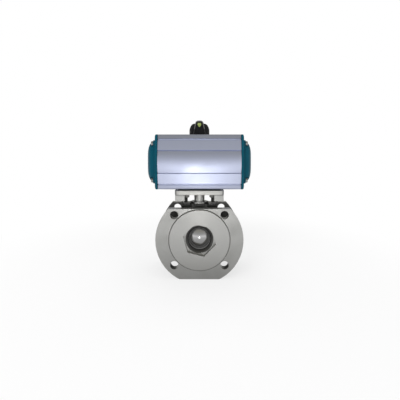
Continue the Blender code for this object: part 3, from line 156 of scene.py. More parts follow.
def shown(name, bm, finish, slot, body, *nodes, edge=0.0):
    """A finished piece shown in place of its CAD nodes, moving with their body."""
    mesh = bpy.data.meshes.new(name)
    bm.to_mesh(mesh)
    bm.free()
    mesh.shade_smooth()
    if not edge:
        mesh.set_sharp_from_angle(angle=SHARP_FROM)
    mesh.materials.append(finish)
    piece = bpy.data.objects.new(name, mesh)
    bpy.context.scene.collection.objects.link(piece)
    if edge:
        rounding = piece.modifiers.new("broken edges", "BEVEL")
        rounding.width = edge
        rounding.segments = 2
        rounding.limit_method = "ANGLE"
        rounding.angle_limit = SHARP_FROM
        evening = piece.modifiers.new("flat faces", "WEIGHTED_NORMAL")
        evening.mode = "FACE_AREA"
        evening.weight = 80
    if nodes:
        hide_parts(*nodes)
    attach(piece, body)
    return piece


def whole(node):
    """A CAD solid as a bmesh with its corners merged and its flat faces joined up again."""
    bm = bmesh.new()
    bm.from_mesh(solids[node].data)
    bmesh.ops.remove_doubles(bm, verts=bm.verts, dist=1e-6)
    bmesh.ops.dissolve_limit(bm, angle_limit=FLAT_WITHIN, verts=bm.verts, edges=bm.edges)
    return bm


def fade(tree, value, start, end):
    """A mask that rises from 0 to 1 as a value goes from start to end."""
    rise = add_node(tree, "ShaderNodeMapRange", {"Value": value, "From Min": start, "From Max": end})
    return rise.outputs[0]


def both_masks(tree, first, second):
    """Where two masks meet."""
    return add_node(tree, "ShaderNodeMath", {0: first, 1: second}, operation="MULTIPLY").outputs[0]


def laid_over(finish, mask, colour):
    """Lays another skin's colour over a finish where the mask is 1."""
    tree = finish.node_tree
    paint = tree.nodes["Principled BSDF"].inputs["Base Color"]
    under = paint.links[0].from_socket if paint.links else tuple(paint.default_value)
    over = add_node(tree, "ShaderNodeMix", {0: mask, 6: under, 7: (*colour, 1)}, data_type="RGBA")
    tree.links.new(over.outputs[2], paint)


CAST_STAINLESS = grained("blasted stainless casting", (0.50, 0.50, 0.485), (0.40, 0.40, 0.385), 0.42,
                         metallic=1.0, grain_scale=1400, cloud_scale=35, depth=0.00008)

# Painted shade darkens the casting between the flanges, under the pad and at the pad's rounded ends, and
# paints the land under the actuator near-black as shadow. The pad itself is cleaner.
RECESS_SHADE_COLOUR = (0.13, 0.13, 0.125)
SHADE_COLOUR = (0.20, 0.20, 0.195)
PAD_COLOUR = (0.62, 0.615, 0.59)
LAND_SHADOW_COLOUR = (0.012, 0.020, 0.024)
RECESS_SHADE_HALF_DEPTH = 0.0262
RECESS_SHADE_TOP = 0.1365
PAD_FOOT = 0.1482
PAD_END = 0.0395
LAND_FOOT = 0.1553
MASK_BLUR = 0.0006
SHADE_BLUR = 4 * MASK_BLUR
cast_tree = CAST_STAINLESS.node_tree
cast_place = add_node(cast_tree, "ShaderNodeTexCoord").outputs["Object"]
cast_axes = add_node(cast_tree, "ShaderNodeSeparateXYZ", {0: cast_place})
depth_from_middle = add_node(cast_tree, "ShaderNodeMath", {0: cast_axes.outputs["Y"]}, operation="ABSOLUTE")
# Painted shade between the flanges, where the barrel, neck and web lie in shadow.
between_flanges = both_masks(
    cast_tree, fade(cast_tree, depth_from_middle.outputs[0], RECESS_SHADE_HALF_DEPTH, RECESS_SHADE_HALF_DEPTH - MASK_BLUR),
    fade(cast_tree, cast_axes.outputs["Z"], RECESS_SHADE_TOP, RECESS_SHADE_TOP - MASK_BLUR),
)
laid_over(CAST_STAINLESS, between_flanges, RECESS_SHADE_COLOUR)
on_pad = fade(cast_tree, cast_axes.outputs["Z"], PAD_FOOT, PAD_FOOT + MASK_BLUR)
# Painted shade: a dark band on the legs just under the pad, and darker rounded ends to the pad.
under_pad = fade(cast_tree, cast_axes.outputs["Z"], PAD_FOOT - SHADE_BLUR, PAD_FOOT)
aside = add_node(cast_tree, "ShaderNodeMath", {0: cast_axes.outputs["X"]}, operation="ABSOLUTE").outputs[0]
pad_end = both_masks(cast_tree, on_pad, fade(cast_tree, aside, PAD_END, PAD_END + SHADE_BLUR))
laid_over(CAST_STAINLESS, under_pad, SHADE_COLOUR)
laid_over(CAST_STAINLESS, on_pad, PAD_COLOUR)
laid_over(CAST_STAINLESS, pad_end, SHADE_COLOUR)
# Painted shadow: the land in the gap under the actuator is coloured near-black.
on_land = fade(cast_tree, cast_axes.outputs["Z"], LAND_FOOT, LAND_FOOT + MASK_BLUR)
laid_over(CAST_STAINLESS, on_land, LAND_SHADOW_COLOUR)
shown("valve_casting", whole("valve_body"), CAST_STAINLESS, "cast_stainless", "housing", "valve_body",
      edge=CAST_EDGE)


# Body insert: the turned stainless closure screwed into the front flange. Its face carries fine
# concentric tool marks, and a hexagon recess for its key surrounds the port.

INSERT_EDGE = 0.0004
RING_SCALE = 2600


def lathe_marks():
    """Fine tool marks: rings about an axis, or lines round a shaft, as Across picks the directions."""
    tree, given, result = group_with(
        "lathe marks",
        {"Centre": "Vector", "Across": "Vector", "Mark scale": "Float", "Roughness": "Float",
         "Roughness spread": "Float"},
        {"Height": "Float", "Roughness": "Float"},
    )
    place = add_node(tree, "ShaderNodeTexCoord").outputs["Object"]
    offset = add_node(tree, "ShaderNodeVectorMath", {0: place, 1: given["Centre"]}, operation="SUBTRACT")
    masked = add_node(tree, "ShaderNodeVectorMath", {0: offset.outputs[0], 1: given["Across"]},
                      operation="MULTIPLY")
    reach = add_node(tree, "ShaderNodeVectorMath", {0: masked.outputs[0]}, operation="LENGTH")
    marks = add_node(tree, "ShaderNodeTexNoise", noise_dimensions="1D")
    tree.links.new(reach.outputs["Value"], marks.inputs["W"])
    tree.links.new(given["Mark scale"], marks.inputs["Scale"])
    marks.inputs["Detail"].default_value = 3.0
    gloss = add_node(tree, "ShaderNodeMath",
                     {0: marks.outputs[0], 1: given["Roughness spread"], 2: given["Roughness"]},
                     operation="MULTIPLY_ADD")
    tree.links.new(marks.outputs[0], result.inputs["Height"])
    tree.links.new(gloss.outputs[0], result.inputs["Roughness"])
    return tree


LATHE = lathe_marks()


def turned_finish(name, colour, roughness, spread, across, axis, anisotropy, depth=0.00002,
                  centre=BORE_CENTRE, mark_scale=RING_SCALE):
    """Machined metal whose highlight is drawn out across its tool marks."""
    finish = bpy.data.materials.new(name)
    finish.use_nodes = True
    tree = finish.node_tree
    shader = tree.nodes["Principled BSDF"]
    marks = add_node(tree, "ShaderNodeGroup", node_tree=LATHE)
    values = {"Centre": centre, "Across": across, "Mark scale": mark_scale, "Roughness": roughness,
              "Roughness spread": spread}
    for label, value in values.items():
        marks.inputs[label].default_value = value
    bump = add_node(tree, "ShaderNodeBump",
                    {"Height": marks.outputs["Height"], "Distance": depth, "Strength": 0.5})
    place = add_node(tree, "ShaderNodeTexCoord").outputs["Object"]
    offset = add_node(tree, "ShaderNodeVectorMath", {0: place, 1: centre}, operation="SUBTRACT")
    along = add_node(tree, "ShaderNodeVectorMath", {0: axis, 1: offset.outputs[0]},
                     operation="CROSS_PRODUCT")
    facing = add_node(tree, "ShaderNodeNewGeometry").outputs["Normal"]
    across_marks = add_node(tree, "ShaderNodeVectorMath", {0: facing, 1: along.outputs[0]},
                            operation="CROSS_PRODUCT")
    tree.links.new(across_marks.outputs[0], shader.inputs["Tangent"])
    tree.links.new(marks.outputs["Roughness"], shader.inputs["Roughness"])
    tree.links.new(bump.outputs[0], shader.inputs["Normal"])
    shader.inputs["Base Color"].default_value = (*colour, 1)
    shader.inputs["Metallic"].default_value = 1.0
    shader.inputs["Anisotropic"].default_value = anisotropy
    return finish


TURNED_FACE = turned_finish("turned stainless face", (0.50, 0.50, 0.485), 0.36, 0.10, (1, 0, 1), (0, 1, 0),
                            0.85)

# Painted shade: the port darkens from its mouth to its throat.
PORT_MOUTH_RADIUS = 0.0247
PORT_MOUTH_BLUR = 0.0003
PORT_THROAT_RADIUS = 0.0200
MOUTH_SHADE_COLOUR = (0.16, 0.16, 0.155)
THROAT_SHADE_COLOUR = (0.035, 0.035, 0.034)
port_tree = TURNED_FACE.node_tree
port_place = add_node(port_tree, "ShaderNodeTexCoord").outputs["Object"]
port_offset = add_node(port_tree, "ShaderNodeVectorMath", {0: port_place, 1: BORE_CENTRE},
                       operation="SUBTRACT")
port_across = add_node(port_tree, "ShaderNodeVectorMath", {0: port_offset.outputs[0], 1: (1, 0, 1)},
                       operation="MULTIPLY")
port_length = add_node(port_tree, "ShaderNodeVectorMath", {0: port_across.outputs[0]}, operation="LENGTH")
port_reach = port_length.outputs["Value"]
in_mouth = fade(port_tree, port_reach, PORT_MOUTH_RADIUS + PORT_MOUTH_BLUR, PORT_MOUTH_RADIUS)
to_throat = fade(port_tree, port_reach, PORT_MOUTH_RADIUS, PORT_THROAT_RADIUS)
laid_over(TURNED_FACE, in_mouth, MOUTH_SHADE_COLOUR)
laid_over(TURNED_FACE, to_throat, THROAT_SHADE_COLOUR)
shown("insert_closure", whole("body_insert"), TURNED_FACE, "turned_stainless", "housing", "body_insert",
      edge=INSERT_EDGE)


# Ball: a chromed stainless sphere with a straight bore and a slot for the stem's tang. At rest it
# is shut, so its bore lies across the pipe.

BALL_BORE_RADIUS = 0.0195
BALL_SLOT_HALF_WIDTH = 0.0053
BALL_SLOT_DEPTH = 0.0065


def carved(piece, tool, operation="DIFFERENCE"):
    """Cuts a tool's shape out of a piece, or keeps what lies inside it, for good."""
    tool_mesh = bpy.data.meshes.new("tool")
    tool.to_mesh(tool_mesh)
    tool.free()
    tool_object = bpy.data.objects.new("tool", tool_mesh)
    bpy.context.scene.collection.objects.link(tool_object)
    cutting = piece.modifiers.new("cutting", "BOOLEAN")
    cutting.operation = operation
    cutting.solver = "EXACT"
    cutting.object = tool_object
    result = bpy.data.meshes.new_from_object(piece.evaluated_get(bpy.context.evaluated_depsgraph_get()))
    piece.modifiers.remove(cutting)
    bpy.data.objects.remove(tool_object)
    piece.data = result


def crisp(piece):
    """Smooth faces that stay sharp at their corners, for a piece cut after it was made."""
    piece.data.shade_smooth()
    piece.data.set_sharp_from_angle(angle=SHARP_FROM)


def cylinder(radius, start, end, segments):
    """A capped cylinder between two points."""
    start, end = Vector(start), Vector(end)
    turn = (end - start).to_track_quat("Z", "Y").to_matrix().to_4x4()
    bm = bmesh.new()
    bmesh.ops.create_cone(
        bm, cap_ends=True, segments=segments, radius1=radius, radius2=radius, depth=(end - start).length,
        matrix=Matrix.Translation((start + end) / 2) @ turn,
    )
    return bm


def block(low, high):
    """A box between two corners."""
    low, high = Vector(low), Vector(high)
    bm = bmesh.new()
    place = Matrix.Translation((low + high) / 2) @ Matrix.Diagonal((*(high - low), 1))
    bmesh.ops.create_cube(bm, size=1.0, matrix=place)
    return bm


ball_radius = (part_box("ball")[1].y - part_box("ball")[0].y) / 2
CHROME = grained("polished chrome", (0.52, 0.52, 0.52), (0.48, 0.48, 0.48), 0.10, 0.02, metallic=1.0,
                 grain_scale=900, cloud_scale=60, depth=0.000004)
ball_bm = bmesh.new()
upright = Matrix.Translation(BORE_CENTRE) @ Matrix.Rotation(math.pi / 2, 4, "X")
bmesh.ops.create_uvsphere(ball_bm, u_segments=96, v_segments=64, radius=ball_radius, matrix=upright)
ball = shown("chromed_ball", ball_bm, CHROME, "polished_chrome", "stem_and_ball", "ball")
beyond = 1.1 * ball_radius
bore_end = Vector((beyond, 0, 0))
carved(ball, cylinder(BALL_BORE_RADIUS, BORE_CENTRE - bore_end, BORE_CENTRE + bore_end, 64))
slot_floor = BORE_HEIGHT + ball_radius - BALL_SLOT_DEPTH
carved(ball, block((-BALL_SLOT_HALF_WIDTH, -beyond, slot_floor),
                   (BALL_SLOT_HALF_WIDTH, beyond, BORE_HEIGHT + beyond)))


# Seats, seals and packing: the seats are carbon-filled PTFE rings that press on the ball, and the
# other rings are white PTFE.

PTFE = grained("white PTFE", (0.78, 0.78, 0.76), (0.72, 0.72, 0.70), 0.5, 0.1, grain_scale=900,
               cloud_scale=120, depth=0.00001, IOR=1.35)
FILLED_PTFE = grained("carbon-filled PTFE", (0.26, 0.26, 0.255), (0.22, 0.22, 0.215), 0.5, 0.1,
                      grain_scale=900, cloud_scale=120, depth=0.00001)


def dress(finish, *nodes):
    """Gives CAD nodes that stay as they are their finish."""
    for node in nodes:
        solids[node].data.materials.clear()
        solids[node].data.materials.append(finish)


dress(FILLED_PTFE, "front_seat", "rear_seat")
dress(PTFE, "insert_seal", "stem_thrust_washer", "packing_ring_1", "packing_ring_2", "packing_ring_3")


# Stem and gland: a turned stainless stem with a square end, held by packing, two disc springs and
# a hexagon gland nut on top of the neck.

STEM_EDGE = 0.0003
STEM_STEEL = turned_finish("turned stem steel", (0.66, 0.66, 0.64), 0.34, 0.10, (0, 0, 1), (0, 0, 1), 0.3)
GLAND_STEEL = grained("gland steel", (0.42, 0.42, 0.41), (0.33, 0.33, 0.32), 0.36, metallic=1.0,
                      grain_scale=1800, cloud_scale=90, depth=0.00002)
shown("stem_shaft", whole("stem"), STEM_STEEL, "turned_stainless", "stem_and_ball", "stem", edge=STEM_EDGE)
shown("gland_hexagon", whole("gland_nut"), GLAND_STEEL, "screw_stainless", "housing", "gland_nut",
      edge=STEM_EDGE)
dress(GLAND_STEEL, "gland_follower", "disc_spring_lower", "disc_spring_upper")


# Mounting: four zinc-plated studs and nuts hold the actuator to the valve's pad, round a centring
# ring that sits in both.

FACE_INSET = 0.0002
CORNER_CLEARANCE = 0.0001
CHAMFER_SLOPE = 0.58
COUNTERSINK = 0.0016
COUNTERSINK_DEPTH = 0.0006
CUT_OVERRUN = 0.001
THREAD_END_SHARE = 0.8
THREAD_ROOT_SHARE = 0.86
ZINC = grained("dark zinc plate", (0.20, 0.20, 0.19), (0.13, 0.13, 0.125), 0.42, metallic=1.0,
               grain_scale=2200, cloud_scale=150, depth=0.00003)


def middle(node):
    """The centre of a CAD node's box."""
    low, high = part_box(node)
    return (low + high) / 2


def lathe(profile, segments, place=(0, 0, 0), turn=Matrix()):
    """A half section of (radius, height) points spun about Z, then turned and placed."""
    bm = bmesh.new()
    verts = [bm.verts.new((radius, 0, height)) for radius, height in profile]
    edges = [bm.edges.new(pair) for pair in zip(verts, verts[1:])]
    bmesh.ops.spin(bm, geom=verts + edges, axis=(0, 0, 1), cent=(0, 0, 0), angle=2 * math.pi, steps=segments,
                   use_merge=True)
    bmesh.ops.remove_doubles(bm, verts=bm.verts, dist=1e-7)
    bmesh.ops.transform(bm, verts=bm.verts, matrix=Matrix.Translation(place) @ turn)
    bmesh.ops.recalc_face_normals(bm, faces=bm.faces)
    return bm


def hexagon_prism(across_flats, depth):
    """A hexagon bar end of a width across flats, centred on the origin."""
    bm = bmesh.new()
    bmesh.ops.create_cone(bm, cap_ends=True, segments=6, radius1=across_flats / math.sqrt(3),
                          radius2=across_flats / math.sqrt(3), depth=depth)
    return bm


def nut(name, node, finish, slot, body, across_flats, hole_radius, axis="Z"):
    """A hexagon nut with its corners chamfered at both ends, in place of its node."""
    low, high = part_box(node)
    depth = high.z - low.z if axis == "Z" else high.y - low.y
    corner = across_flats / math.sqrt(3)
    face = across_flats / 2 - FACE_INSET
    chamfer = (corner - across_flats / 2 + FACE_INSET) * CHAMFER_SLOPE
    half = depth / 2
    piece = shown(name, hexagon_prism(across_flats, depth), finish, slot, body, node)
    barrel = [
        (0, -half), (face, -half), (corner + CORNER_CLEARANCE, -half + chamfer),
        (corner + CORNER_CLEARANCE, half - chamfer), (face, half), (0, half),
    ]
    carved(piece, lathe(barrel, 36), "INTERSECT")
    mouth = hole_radius + COUNTERSINK
    bore = [
        (0, -half - CUT_OVERRUN), (mouth, -half - CUT_OVERRUN), (hole_radius, -half + COUNTERSINK_DEPTH),
        (hole_radius, half - COUNTERSINK_DEPTH), (mouth, half + CUT_OVERRUN), (0, half + CUT_OVERRUN),
    ]
    carved(piece, lathe(bore, 24))
    turn = Matrix() if axis == "Z" else Matrix.Rotation(-math.pi / 2, 4, "X")
    piece.data.transform(Matrix.Translation(middle(node)) @ turn)
    crisp(piece)


def threaded(name, node, finish, slot, body, radius, pitch, axis="Z"):
    """A stud in place of its node, with rolled thread ridges and chamfered ends."""
    low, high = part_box(node)
    length = high.z - low.z if axis == "Z" else high.y - low.y
    profile = [(0, -length / 2), (radius * THREAD_END_SHARE, -length / 2)]
    turns = int(length / pitch) - 1
    for ridge in range(turns):
        height = -length / 2 + pitch * (ridge + 0.75)
        profile += [(radius, height), (radius * THREAD_ROOT_SHARE, height + pitch / 2)]
    profile += [(radius * THREAD_END_SHARE, length / 2), (0, length / 2)]
    turn = Matrix() if axis == "Z" else Matrix.Rotation(-math.pi / 2, 4, "X")
    shown(name, lathe(profile, 20, middle(node), turn), finish, slot, body, node)


STUD_RADIUS = 0.0040
STUD_PITCH = 0.00125
NUT_ACROSS_FLATS = 0.013
NUT_CLEARANCE = 0.0003
for number in range(1, 5):
    threaded(f"stud_{number}", f"mounting_stud_{number}", ZINC, "zinc_steel", "housing", STUD_RADIUS,
             STUD_PITCH)
    nut(f"stud_nut_{number}", f"mounting_nut_{number}", ZINC, "zinc_steel", "housing", NUT_ACROSS_FLATS,
        STUD_RADIUS + NUT_CLEARANCE)


# Actuator body: one length of extruded aluminium with a hard-anodised bluish satin skin. The die
# leaves fine lines along it.

ANODISED = grained("satin anodised extrusion", (0.58, 0.62, 0.78), (0.52, 0.56, 0.72), 0.34, 0.08,
                   metallic=1.0, grain_scale=1500, cloud_scale=25, depth=0.00003, stretch=(0.02, 1, 1))
EXTRUSION_EDGE = 0.0005
shown("actuator_barrel", whole("actuator_body"), ANODISED, "anodised_aluminium", "housing", "actuator_body",
      edge=EXTRUSION_EDGE)
CAST_ALUMINIUM = grained("cast aluminium", (0.58, 0.58, 0.59), (0.48, 0.48, 0.49), 0.42, metallic=1.0,
                         grain_scale=900, cloud_scale=60, depth=0.00006)
dress(CAST_ALUMINIUM, "centring_ring")


# End caps: die-cast aluminium in smooth teal enamel. A flat plate carries a pillow-shaped crown and a
# boss at each corner, where the crown is pocketed for the screw. A spigot sits in the bore.

CAP_GAP = 0.0003
CAP_PLATE_THICKNESS = 0.0040
CAP_CORNER_RADIUS = 0.008
CROWN_HALF_DEPTH = 0.0367
CROWN_HALF_HEIGHT = 0.0388
CROWN_PROFILE_POWER = 2.8
CROWN_PLAN_POWER = 5.0
BOSS_RADIUS = 0.0060
BOSS_HEIGHT = 0.0050
POCKET_RADIUS = 0.0062
SPIGOT_RADIUS = 0.0338
SPIGOT_LENGTH = 0.0035
HOLLOW_RADIUS = 0.0325
HOLLOW_DEPTH = 0.0145
CAP_OVERLAP = 0.001
POCKET_FLOOR = 0.0002
POCKET_OVERRUN = 0.002
CAP_VOXEL = 0.0008
TEAL = grained("teal enamel", (0.001, 0.070, 0.106), (0.001, 0.060, 0.092), 0.40, 0.10, grain_scale=700,
               cloud_scale=50, depth=0.00003, Specular_IOR_Level=0.10)


def pillow(seat, rise):
    """The crown: a sphere squared up by a superellipse in plan and another in profile."""
    bm = bmesh.new()
    bmesh.ops.create_uvsphere(bm, u_segments=96, v_segments=64, radius=1.0,
                              matrix=Matrix.Rotation(math.pi / 2, 4, "Y"))
    for vert in bm.verts:
        x, y, z = vert.co
        across = math.hypot(y, z)
        wide = across ** (2 / CROWN_PROFILE_POWER)
        plan = [math.copysign(abs(part / across) ** (2 / CROWN_PLAN_POWER), part) if across > 1e-6 else 0.0
                for part in (y, z)]
        up = math.copysign(abs(x) ** (2 / CROWN_PROFILE_POWER), x)
        vert.co = (seat + rise * up, CROWN_HALF_DEPTH * wide * plan[0], CROWN_HALF_HEIGHT * wide * plan[1])
    return bm


def end_cap(name, node, side):
    """Modelled for the right end, then turned round for the left one."""
    low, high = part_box("right_end_cap")
    centre = (low + high) / 2
    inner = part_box("actuator_body")[1].x + CAP_GAP
    seat = inner + CAP_PLATE_THICKNESS
    rise = high.x - seat
    half_depth = (high.y - low.y) / 2
    half_height = (high.z - low.z) / 2
    screw = middle("right_cap_screw_1") - centre
    screw_places = [(sign_y * abs(screw.y), sign_z * abs(screw.z))
                    for sign_y in (-1, 1) for sign_z in (-1, 1)]
    plate = block((inner, -half_depth, -half_height), (seat, half_depth, half_height))
    corners = [edge for edge in plate.edges if abs(edge.verts[0].co.x - edge.verts[1].co.x) > 0.001]
    bmesh.ops.bevel(plate, geom=corners, offset=CAP_CORNER_RADIUS, offset_type="OFFSET", affect="EDGES",
                    segments=8, profile=0.5, material=-1)
    cap = shown(name, plate, TEAL, "teal_enamel", "housing", node)
    crown = pillow(seat - CAP_OVERLAP, rise + CAP_OVERLAP)
    bmesh.ops.bisect_plane(crown, geom=crown.verts[:] + crown.edges[:] + crown.faces[:],
                           plane_co=(inner + CAP_OVERLAP, 0, 0), plane_no=(1, 0, 0), clear_inner=True)
    rim = [edge for edge in crown.edges if edge.is_boundary]
    bmesh.ops.holes_fill(crown, edges=rim)
    bmesh.ops.recalc_face_normals(crown, faces=crown.faces)
    carved(cap, crown, "UNION")
    for y, z in screw_places:
        pocket_top = (high.x + POCKET_OVERRUN, y, z)
        carved(cap, cylinder(POCKET_RADIUS, (seat + POCKET_FLOOR, y, z), pocket_top, 32))
    for y, z in screw_places:
        boss_top = (seat + BOSS_HEIGHT, y, z)
        carved(cap, cylinder(BOSS_RADIUS, (inner + CAP_OVERLAP, y, z), boss_top, 32), "UNION")
    spigot_end = (inner - SPIGOT_LENGTH, 0, 0)
    carved(cap, cylinder(SPIGOT_RADIUS, spigot_end, (inner + CAP_OVERLAP, 0, 0), 64), "UNION")
    hollow_mouth = (inner - 2 * SPIGOT_LENGTH, 0, 0)
    carved(cap, cylinder(HOLLOW_RADIUS, hollow_mouth, (inner + HOLLOW_DEPTH, 0, 0), 64))
    softening = cap.modifiers.new("softening", "REMESH")
    softening.mode = "VOXEL"
    softening.voxel_size = CAP_VOXEL
    easing = cap.modifiers.new("easing", "SMOOTH")
    easing.factor = 0.5
    easing.iterations = 3
    soft = bpy.data.meshes.new_from_object(cap.evaluated_get(bpy.context.evaluated_depsgraph_get()))
    cap.modifiers.clear()
    cap.data = soft
    turn = Matrix.Rotation(0 if side > 0 else math.pi, 4, "Z")
    cap.data.transform(Matrix.Translation((0, 0, centre.z)) @ turn)
    cap.data.shade_smooth()


end_cap("right_crown_cap", "right_end_cap", 1)
end_cap("left_crown_cap", "left_end_cap", -1)


# Cap screws: low stainless socket heads, each on its boss.

SCREW_HEAD_RADIUS = 0.00425
SCREW_HEAD_HEIGHT = 0.0035
SCREW_RADIUS = 0.0025
SCREW_TIP_SHARE = 0.8
SCREW_TIP_CHAMFER = 0.0006
SCREW_HEAD_CHAMFER = 0.0007
SOCKET_DEPTH = 0.004
SCREW_STEEL = grained("stainless screw steel", (0.40, 0.40, 0.40), (0.30, 0.30, 0.30), 0.32, metallic=1.0,
                      grain_scale=2500, cloud_scale=200, depth=0.00002)


def cap_screw(name, node, side):
    """A socket head screw in place of its node, pointing into the cap on its side."""
    low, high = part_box(node)
    length = high.x - low.x
    tip = -length + SCREW_HEAD_HEIGHT
    profile = [
        (0, tip), (SCREW_RADIUS * SCREW_TIP_SHARE, tip), (SCREW_RADIUS, tip + SCREW_TIP_CHAMFER),
        (SCREW_RADIUS, 0), (SCREW_HEAD_RADIUS, 0),
        (SCREW_HEAD_RADIUS, SCREW_HEAD_HEIGHT - SCREW_HEAD_CHAMFER),
        (SCREW_HEAD_RADIUS - SCREW_HEAD_CHAMFER, SCREW_HEAD_HEIGHT), (0, SCREW_HEAD_HEIGHT),
    ]
    screw = shown(name, lathe(profile, 32), SCREW_STEEL, "screw_stainless", "housing", node)
    socket = hexagon_prism(SCREW_HEAD_RADIUS, SOCKET_DEPTH)
    bmesh.ops.translate(socket, verts=socket.verts, vec=(0, 0, SCREW_HEAD_HEIGHT))
    carved(screw, socket)
    head_seat = high.x - SCREW_HEAD_HEIGHT if side > 0 else low.x + SCREW_HEAD_HEIGHT
    place = Vector((head_seat, middle(node).y, middle(node).z))
    screw.data.transform(Matrix.Translation(place) @ Matrix.Rotation(side * math.pi / 2, 4, "Y"))
    crisp(screw)


for side_name, side in (("left", -1), ("right", 1)):
    for number in range(1, 5):
        cap_screw(f"{side_name}_socket_screw_{number}", f"{side_name}_cap_screw_{number}", side)


# Pistons, racks and pinion: inside the actuator, so the CAD solids stay and only get their finish.

RUBBER = grained("nitrile rubber", (0.018, 0.018, 0.018), (0.012, 0.012, 0.012), 0.6, grain_scale=1200,
                 cloud_scale=80, depth=0.00003)
ACETAL = grained("acetal bearing plastic", (0.72, 0.71, 0.66), (0.66, 0.65, 0.60), 0.42, grain_scale=900,
                 cloud_scale=80, depth=0.00001)
NICKEL = grained("nickel-plated steel", (0.52, 0.51, 0.47), (0.44, 0.43, 0.40), 0.30, metallic=1.0,
                 grain_scale=1800, cloud_scale=70, depth=0.00002)
dress(CAST_ALUMINIUM, "left_piston", "right_piston")
dress(RUBBER, "left_cap_seal", "right_cap_seal", "left_piston_seal", "right_piston_seal")
dress(ACETAL, "left_piston_guide_band", "right_piston_guide_band", "left_rack_guide", "right_rack_guide",
      "upper_pinion_bearing", "lower_pinion_bearing", "pinion_thrust_washer")
dress(NICKEL, "pinion", "stop_cam")
dress(ZINC, "pinion_circlip")


# Travel stops: two set screws with lock nuts in the back of the actuator.

for name in ("closed", "open"):
    threaded(f"{name}_set_screw", f"{name}_stop_screw", SCREW_STEEL, "screw_stainless", "housing",
             STUD_RADIUS, STUD_PITCH, "Y")
    nut(f"{name}_lock_nut", f"{name}_stop_nut", SCREW_STEEL, "screw_stainless", "housing", NUT_ACROSS_FLATS,
        STUD_RADIUS + NUT_CLEARANCE, "Y")


# Position indicator: a black moulded dome on the pinion's end. A taller band runs over it along the
# flow, with a rib down each edge painted grey as a highlight that fades out lower down, and a yellow-green
# arrow let in at both ends.

BLACK = grained("black moulding", (0.006, 0.006, 0.007), (0.009, 0.009, 0.010), 0.45, 0.12, grain_scale=700,
                cloud_scale=90, depth=0.00003, Specular_IOR_Level=0.15)
RIB_HIGHLIGHT = grained("rib painted with highlight", (0.11, 0.11, 0.105), (0.07, 0.07, 0.068), 0.40, 0.1, grain_scale=1200,
                   cloud_scale=200, depth=0.00002)
ARROW = grained("yellow-green inlay", (0.25, 0.31, 0.085), (0.20, 0.25, 0.07), 0.5, 0.1, grain_scale=1200,
                cloud_scale=200, depth=0.00002, Specular_IOR_Level=0.2)
LOBE_OUTLINE = ((0.0190, 0), (0.0190, 0.0100), (0.0188, 0.0122), (0.0180, 0.0152), (0.0166, 0.0184),
                (0.0150, 0.0208), (0.0134, 0.0222), (0.0100, 0.0230), (0, 0.0232))
BAND_OUTLINE = ((0.0190, 0), (0.0190, 0.0100), (0.0186, 0.0130), (0.0176, 0.0160), (0.0160, 0.0190),
                (0.0138, 0.0218), (0.0110, 0.0244), (0.0074, 0.0268), (0.0036, 0.0281), (0, 0.0286))
BAND_HALF_WIDTH = 0.0072
RIB_HALF_THICKNESS = 0.0008
RIB_PLACE = 0.0058
RIB_LEAN = math.radians(11)
RIB_FADES_BELOW = 0.0125
RIB_FADE_LENGTH = 0.002
RIB_PROUD = 0.0003
RIB_THICKNESS = 0.0016
RIB_OVERRUN = 0.001
BAND_INSET = 0.0002
RIB_DARK = (0.014, 0.014, 0.014)
ARROW_HALF_WIDTH = 0.0034
ARROW_TOP_HALF_WIDTH = 0.0027
ARROW_TOP = 0.0230
ARROW_SHOULDER = 0.0190
ARROW_TIP = 0.0143
ARROW_PROUD = 0.0001
ARROW_THICKNESS = 0.0012
ARROW_CUT_START = 0.004
ARROW_CUT_LENGTH = 0.03
dome_low, dome_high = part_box("position_indicator")
dome_foot = Vector((0, 0, dome_low.z))
dome_reach = dome_high.y - dome_low.y
dome_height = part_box("indicator_insert")[1].z - dome_low.z
# Painted highlight: the black ribs are coloured grey as lit edges, and turn dark below a height where the
# highlight fades.
rib_tree = RIB_HIGHLIGHT.node_tree
rib_place = add_node(rib_tree, "ShaderNodeTexCoord").outputs["Object"]
rib_level = add_node(rib_tree, "ShaderNodeSeparateXYZ", {0: rib_place}).outputs["Z"]
rib_fade = dome_low.z + RIB_FADES_BELOW
laid_over(RIB_HIGHLIGHT, fade(rib_tree, rib_level, rib_fade, rib_fade - RIB_FADE_LENGTH), RIB_DARK)


def dome_shell(outline, proud):
    """The dome's rounded shape, standing proud of an outline all round."""
    profile = [(radius + proud if radius else 0, height + proud if height else 0)
               for radius, height in outline]
    return lathe([(0, 0), *profile], 96, dome_foot)


def let_in(name, bm, finish, slot, proud, thickness):
    """A thin piece that follows the band's top: what lies between two shells."""
    strip = shown(name, bm, finish, slot, "shaft")
    carved(strip, dome_shell(BAND_OUTLINE, proud), "INTERSECT")
    carved(strip, dome_shell(BAND_OUTLINE, proud - thickness))
    crisp(strip)


over_dome = dome_low.z + 2 * dome_height
across_dome = block((-BAND_HALF_WIDTH, -dome_reach, dome_low.z), (BAND_HALF_WIDTH, dome_reach, over_dome))
lobes = shown("indicator_dome", dome_shell(LOBE_OUTLINE, 0), BLACK, "black_plastic", "shaft",
              "position_indicator")
carved(lobes, across_dome.copy())
band = shown("indicator_band", dome_shell(BAND_OUTLINE, -BAND_INSET), BLACK, "black_plastic", "shaft",
             "indicator_insert")
carved(band, across_dome, "INTERSECT")
for moulding in (lobes, band):
    crisp(moulding)
for side_name, side in (("left", -1), ("right", 1)):
    rib = block((-RIB_HALF_THICKNESS, -dome_reach, -2 * dome_height),
                (RIB_HALF_THICKNESS, dome_reach, RIB_OVERRUN))
    rib_top = Matrix.Translation((side * RIB_PLACE, 0, dome_low.z + dome_height))
    bmesh.ops.transform(rib, verts=rib.verts, matrix=rib_top @ Matrix.Rotation(-side * RIB_LEAN, 4, "Y"))
    let_in(f"{side_name}_indicator_rib", rib, RIB_HIGHLIGHT, "black_plastic", RIB_PROUD, RIB_THICKNESS)
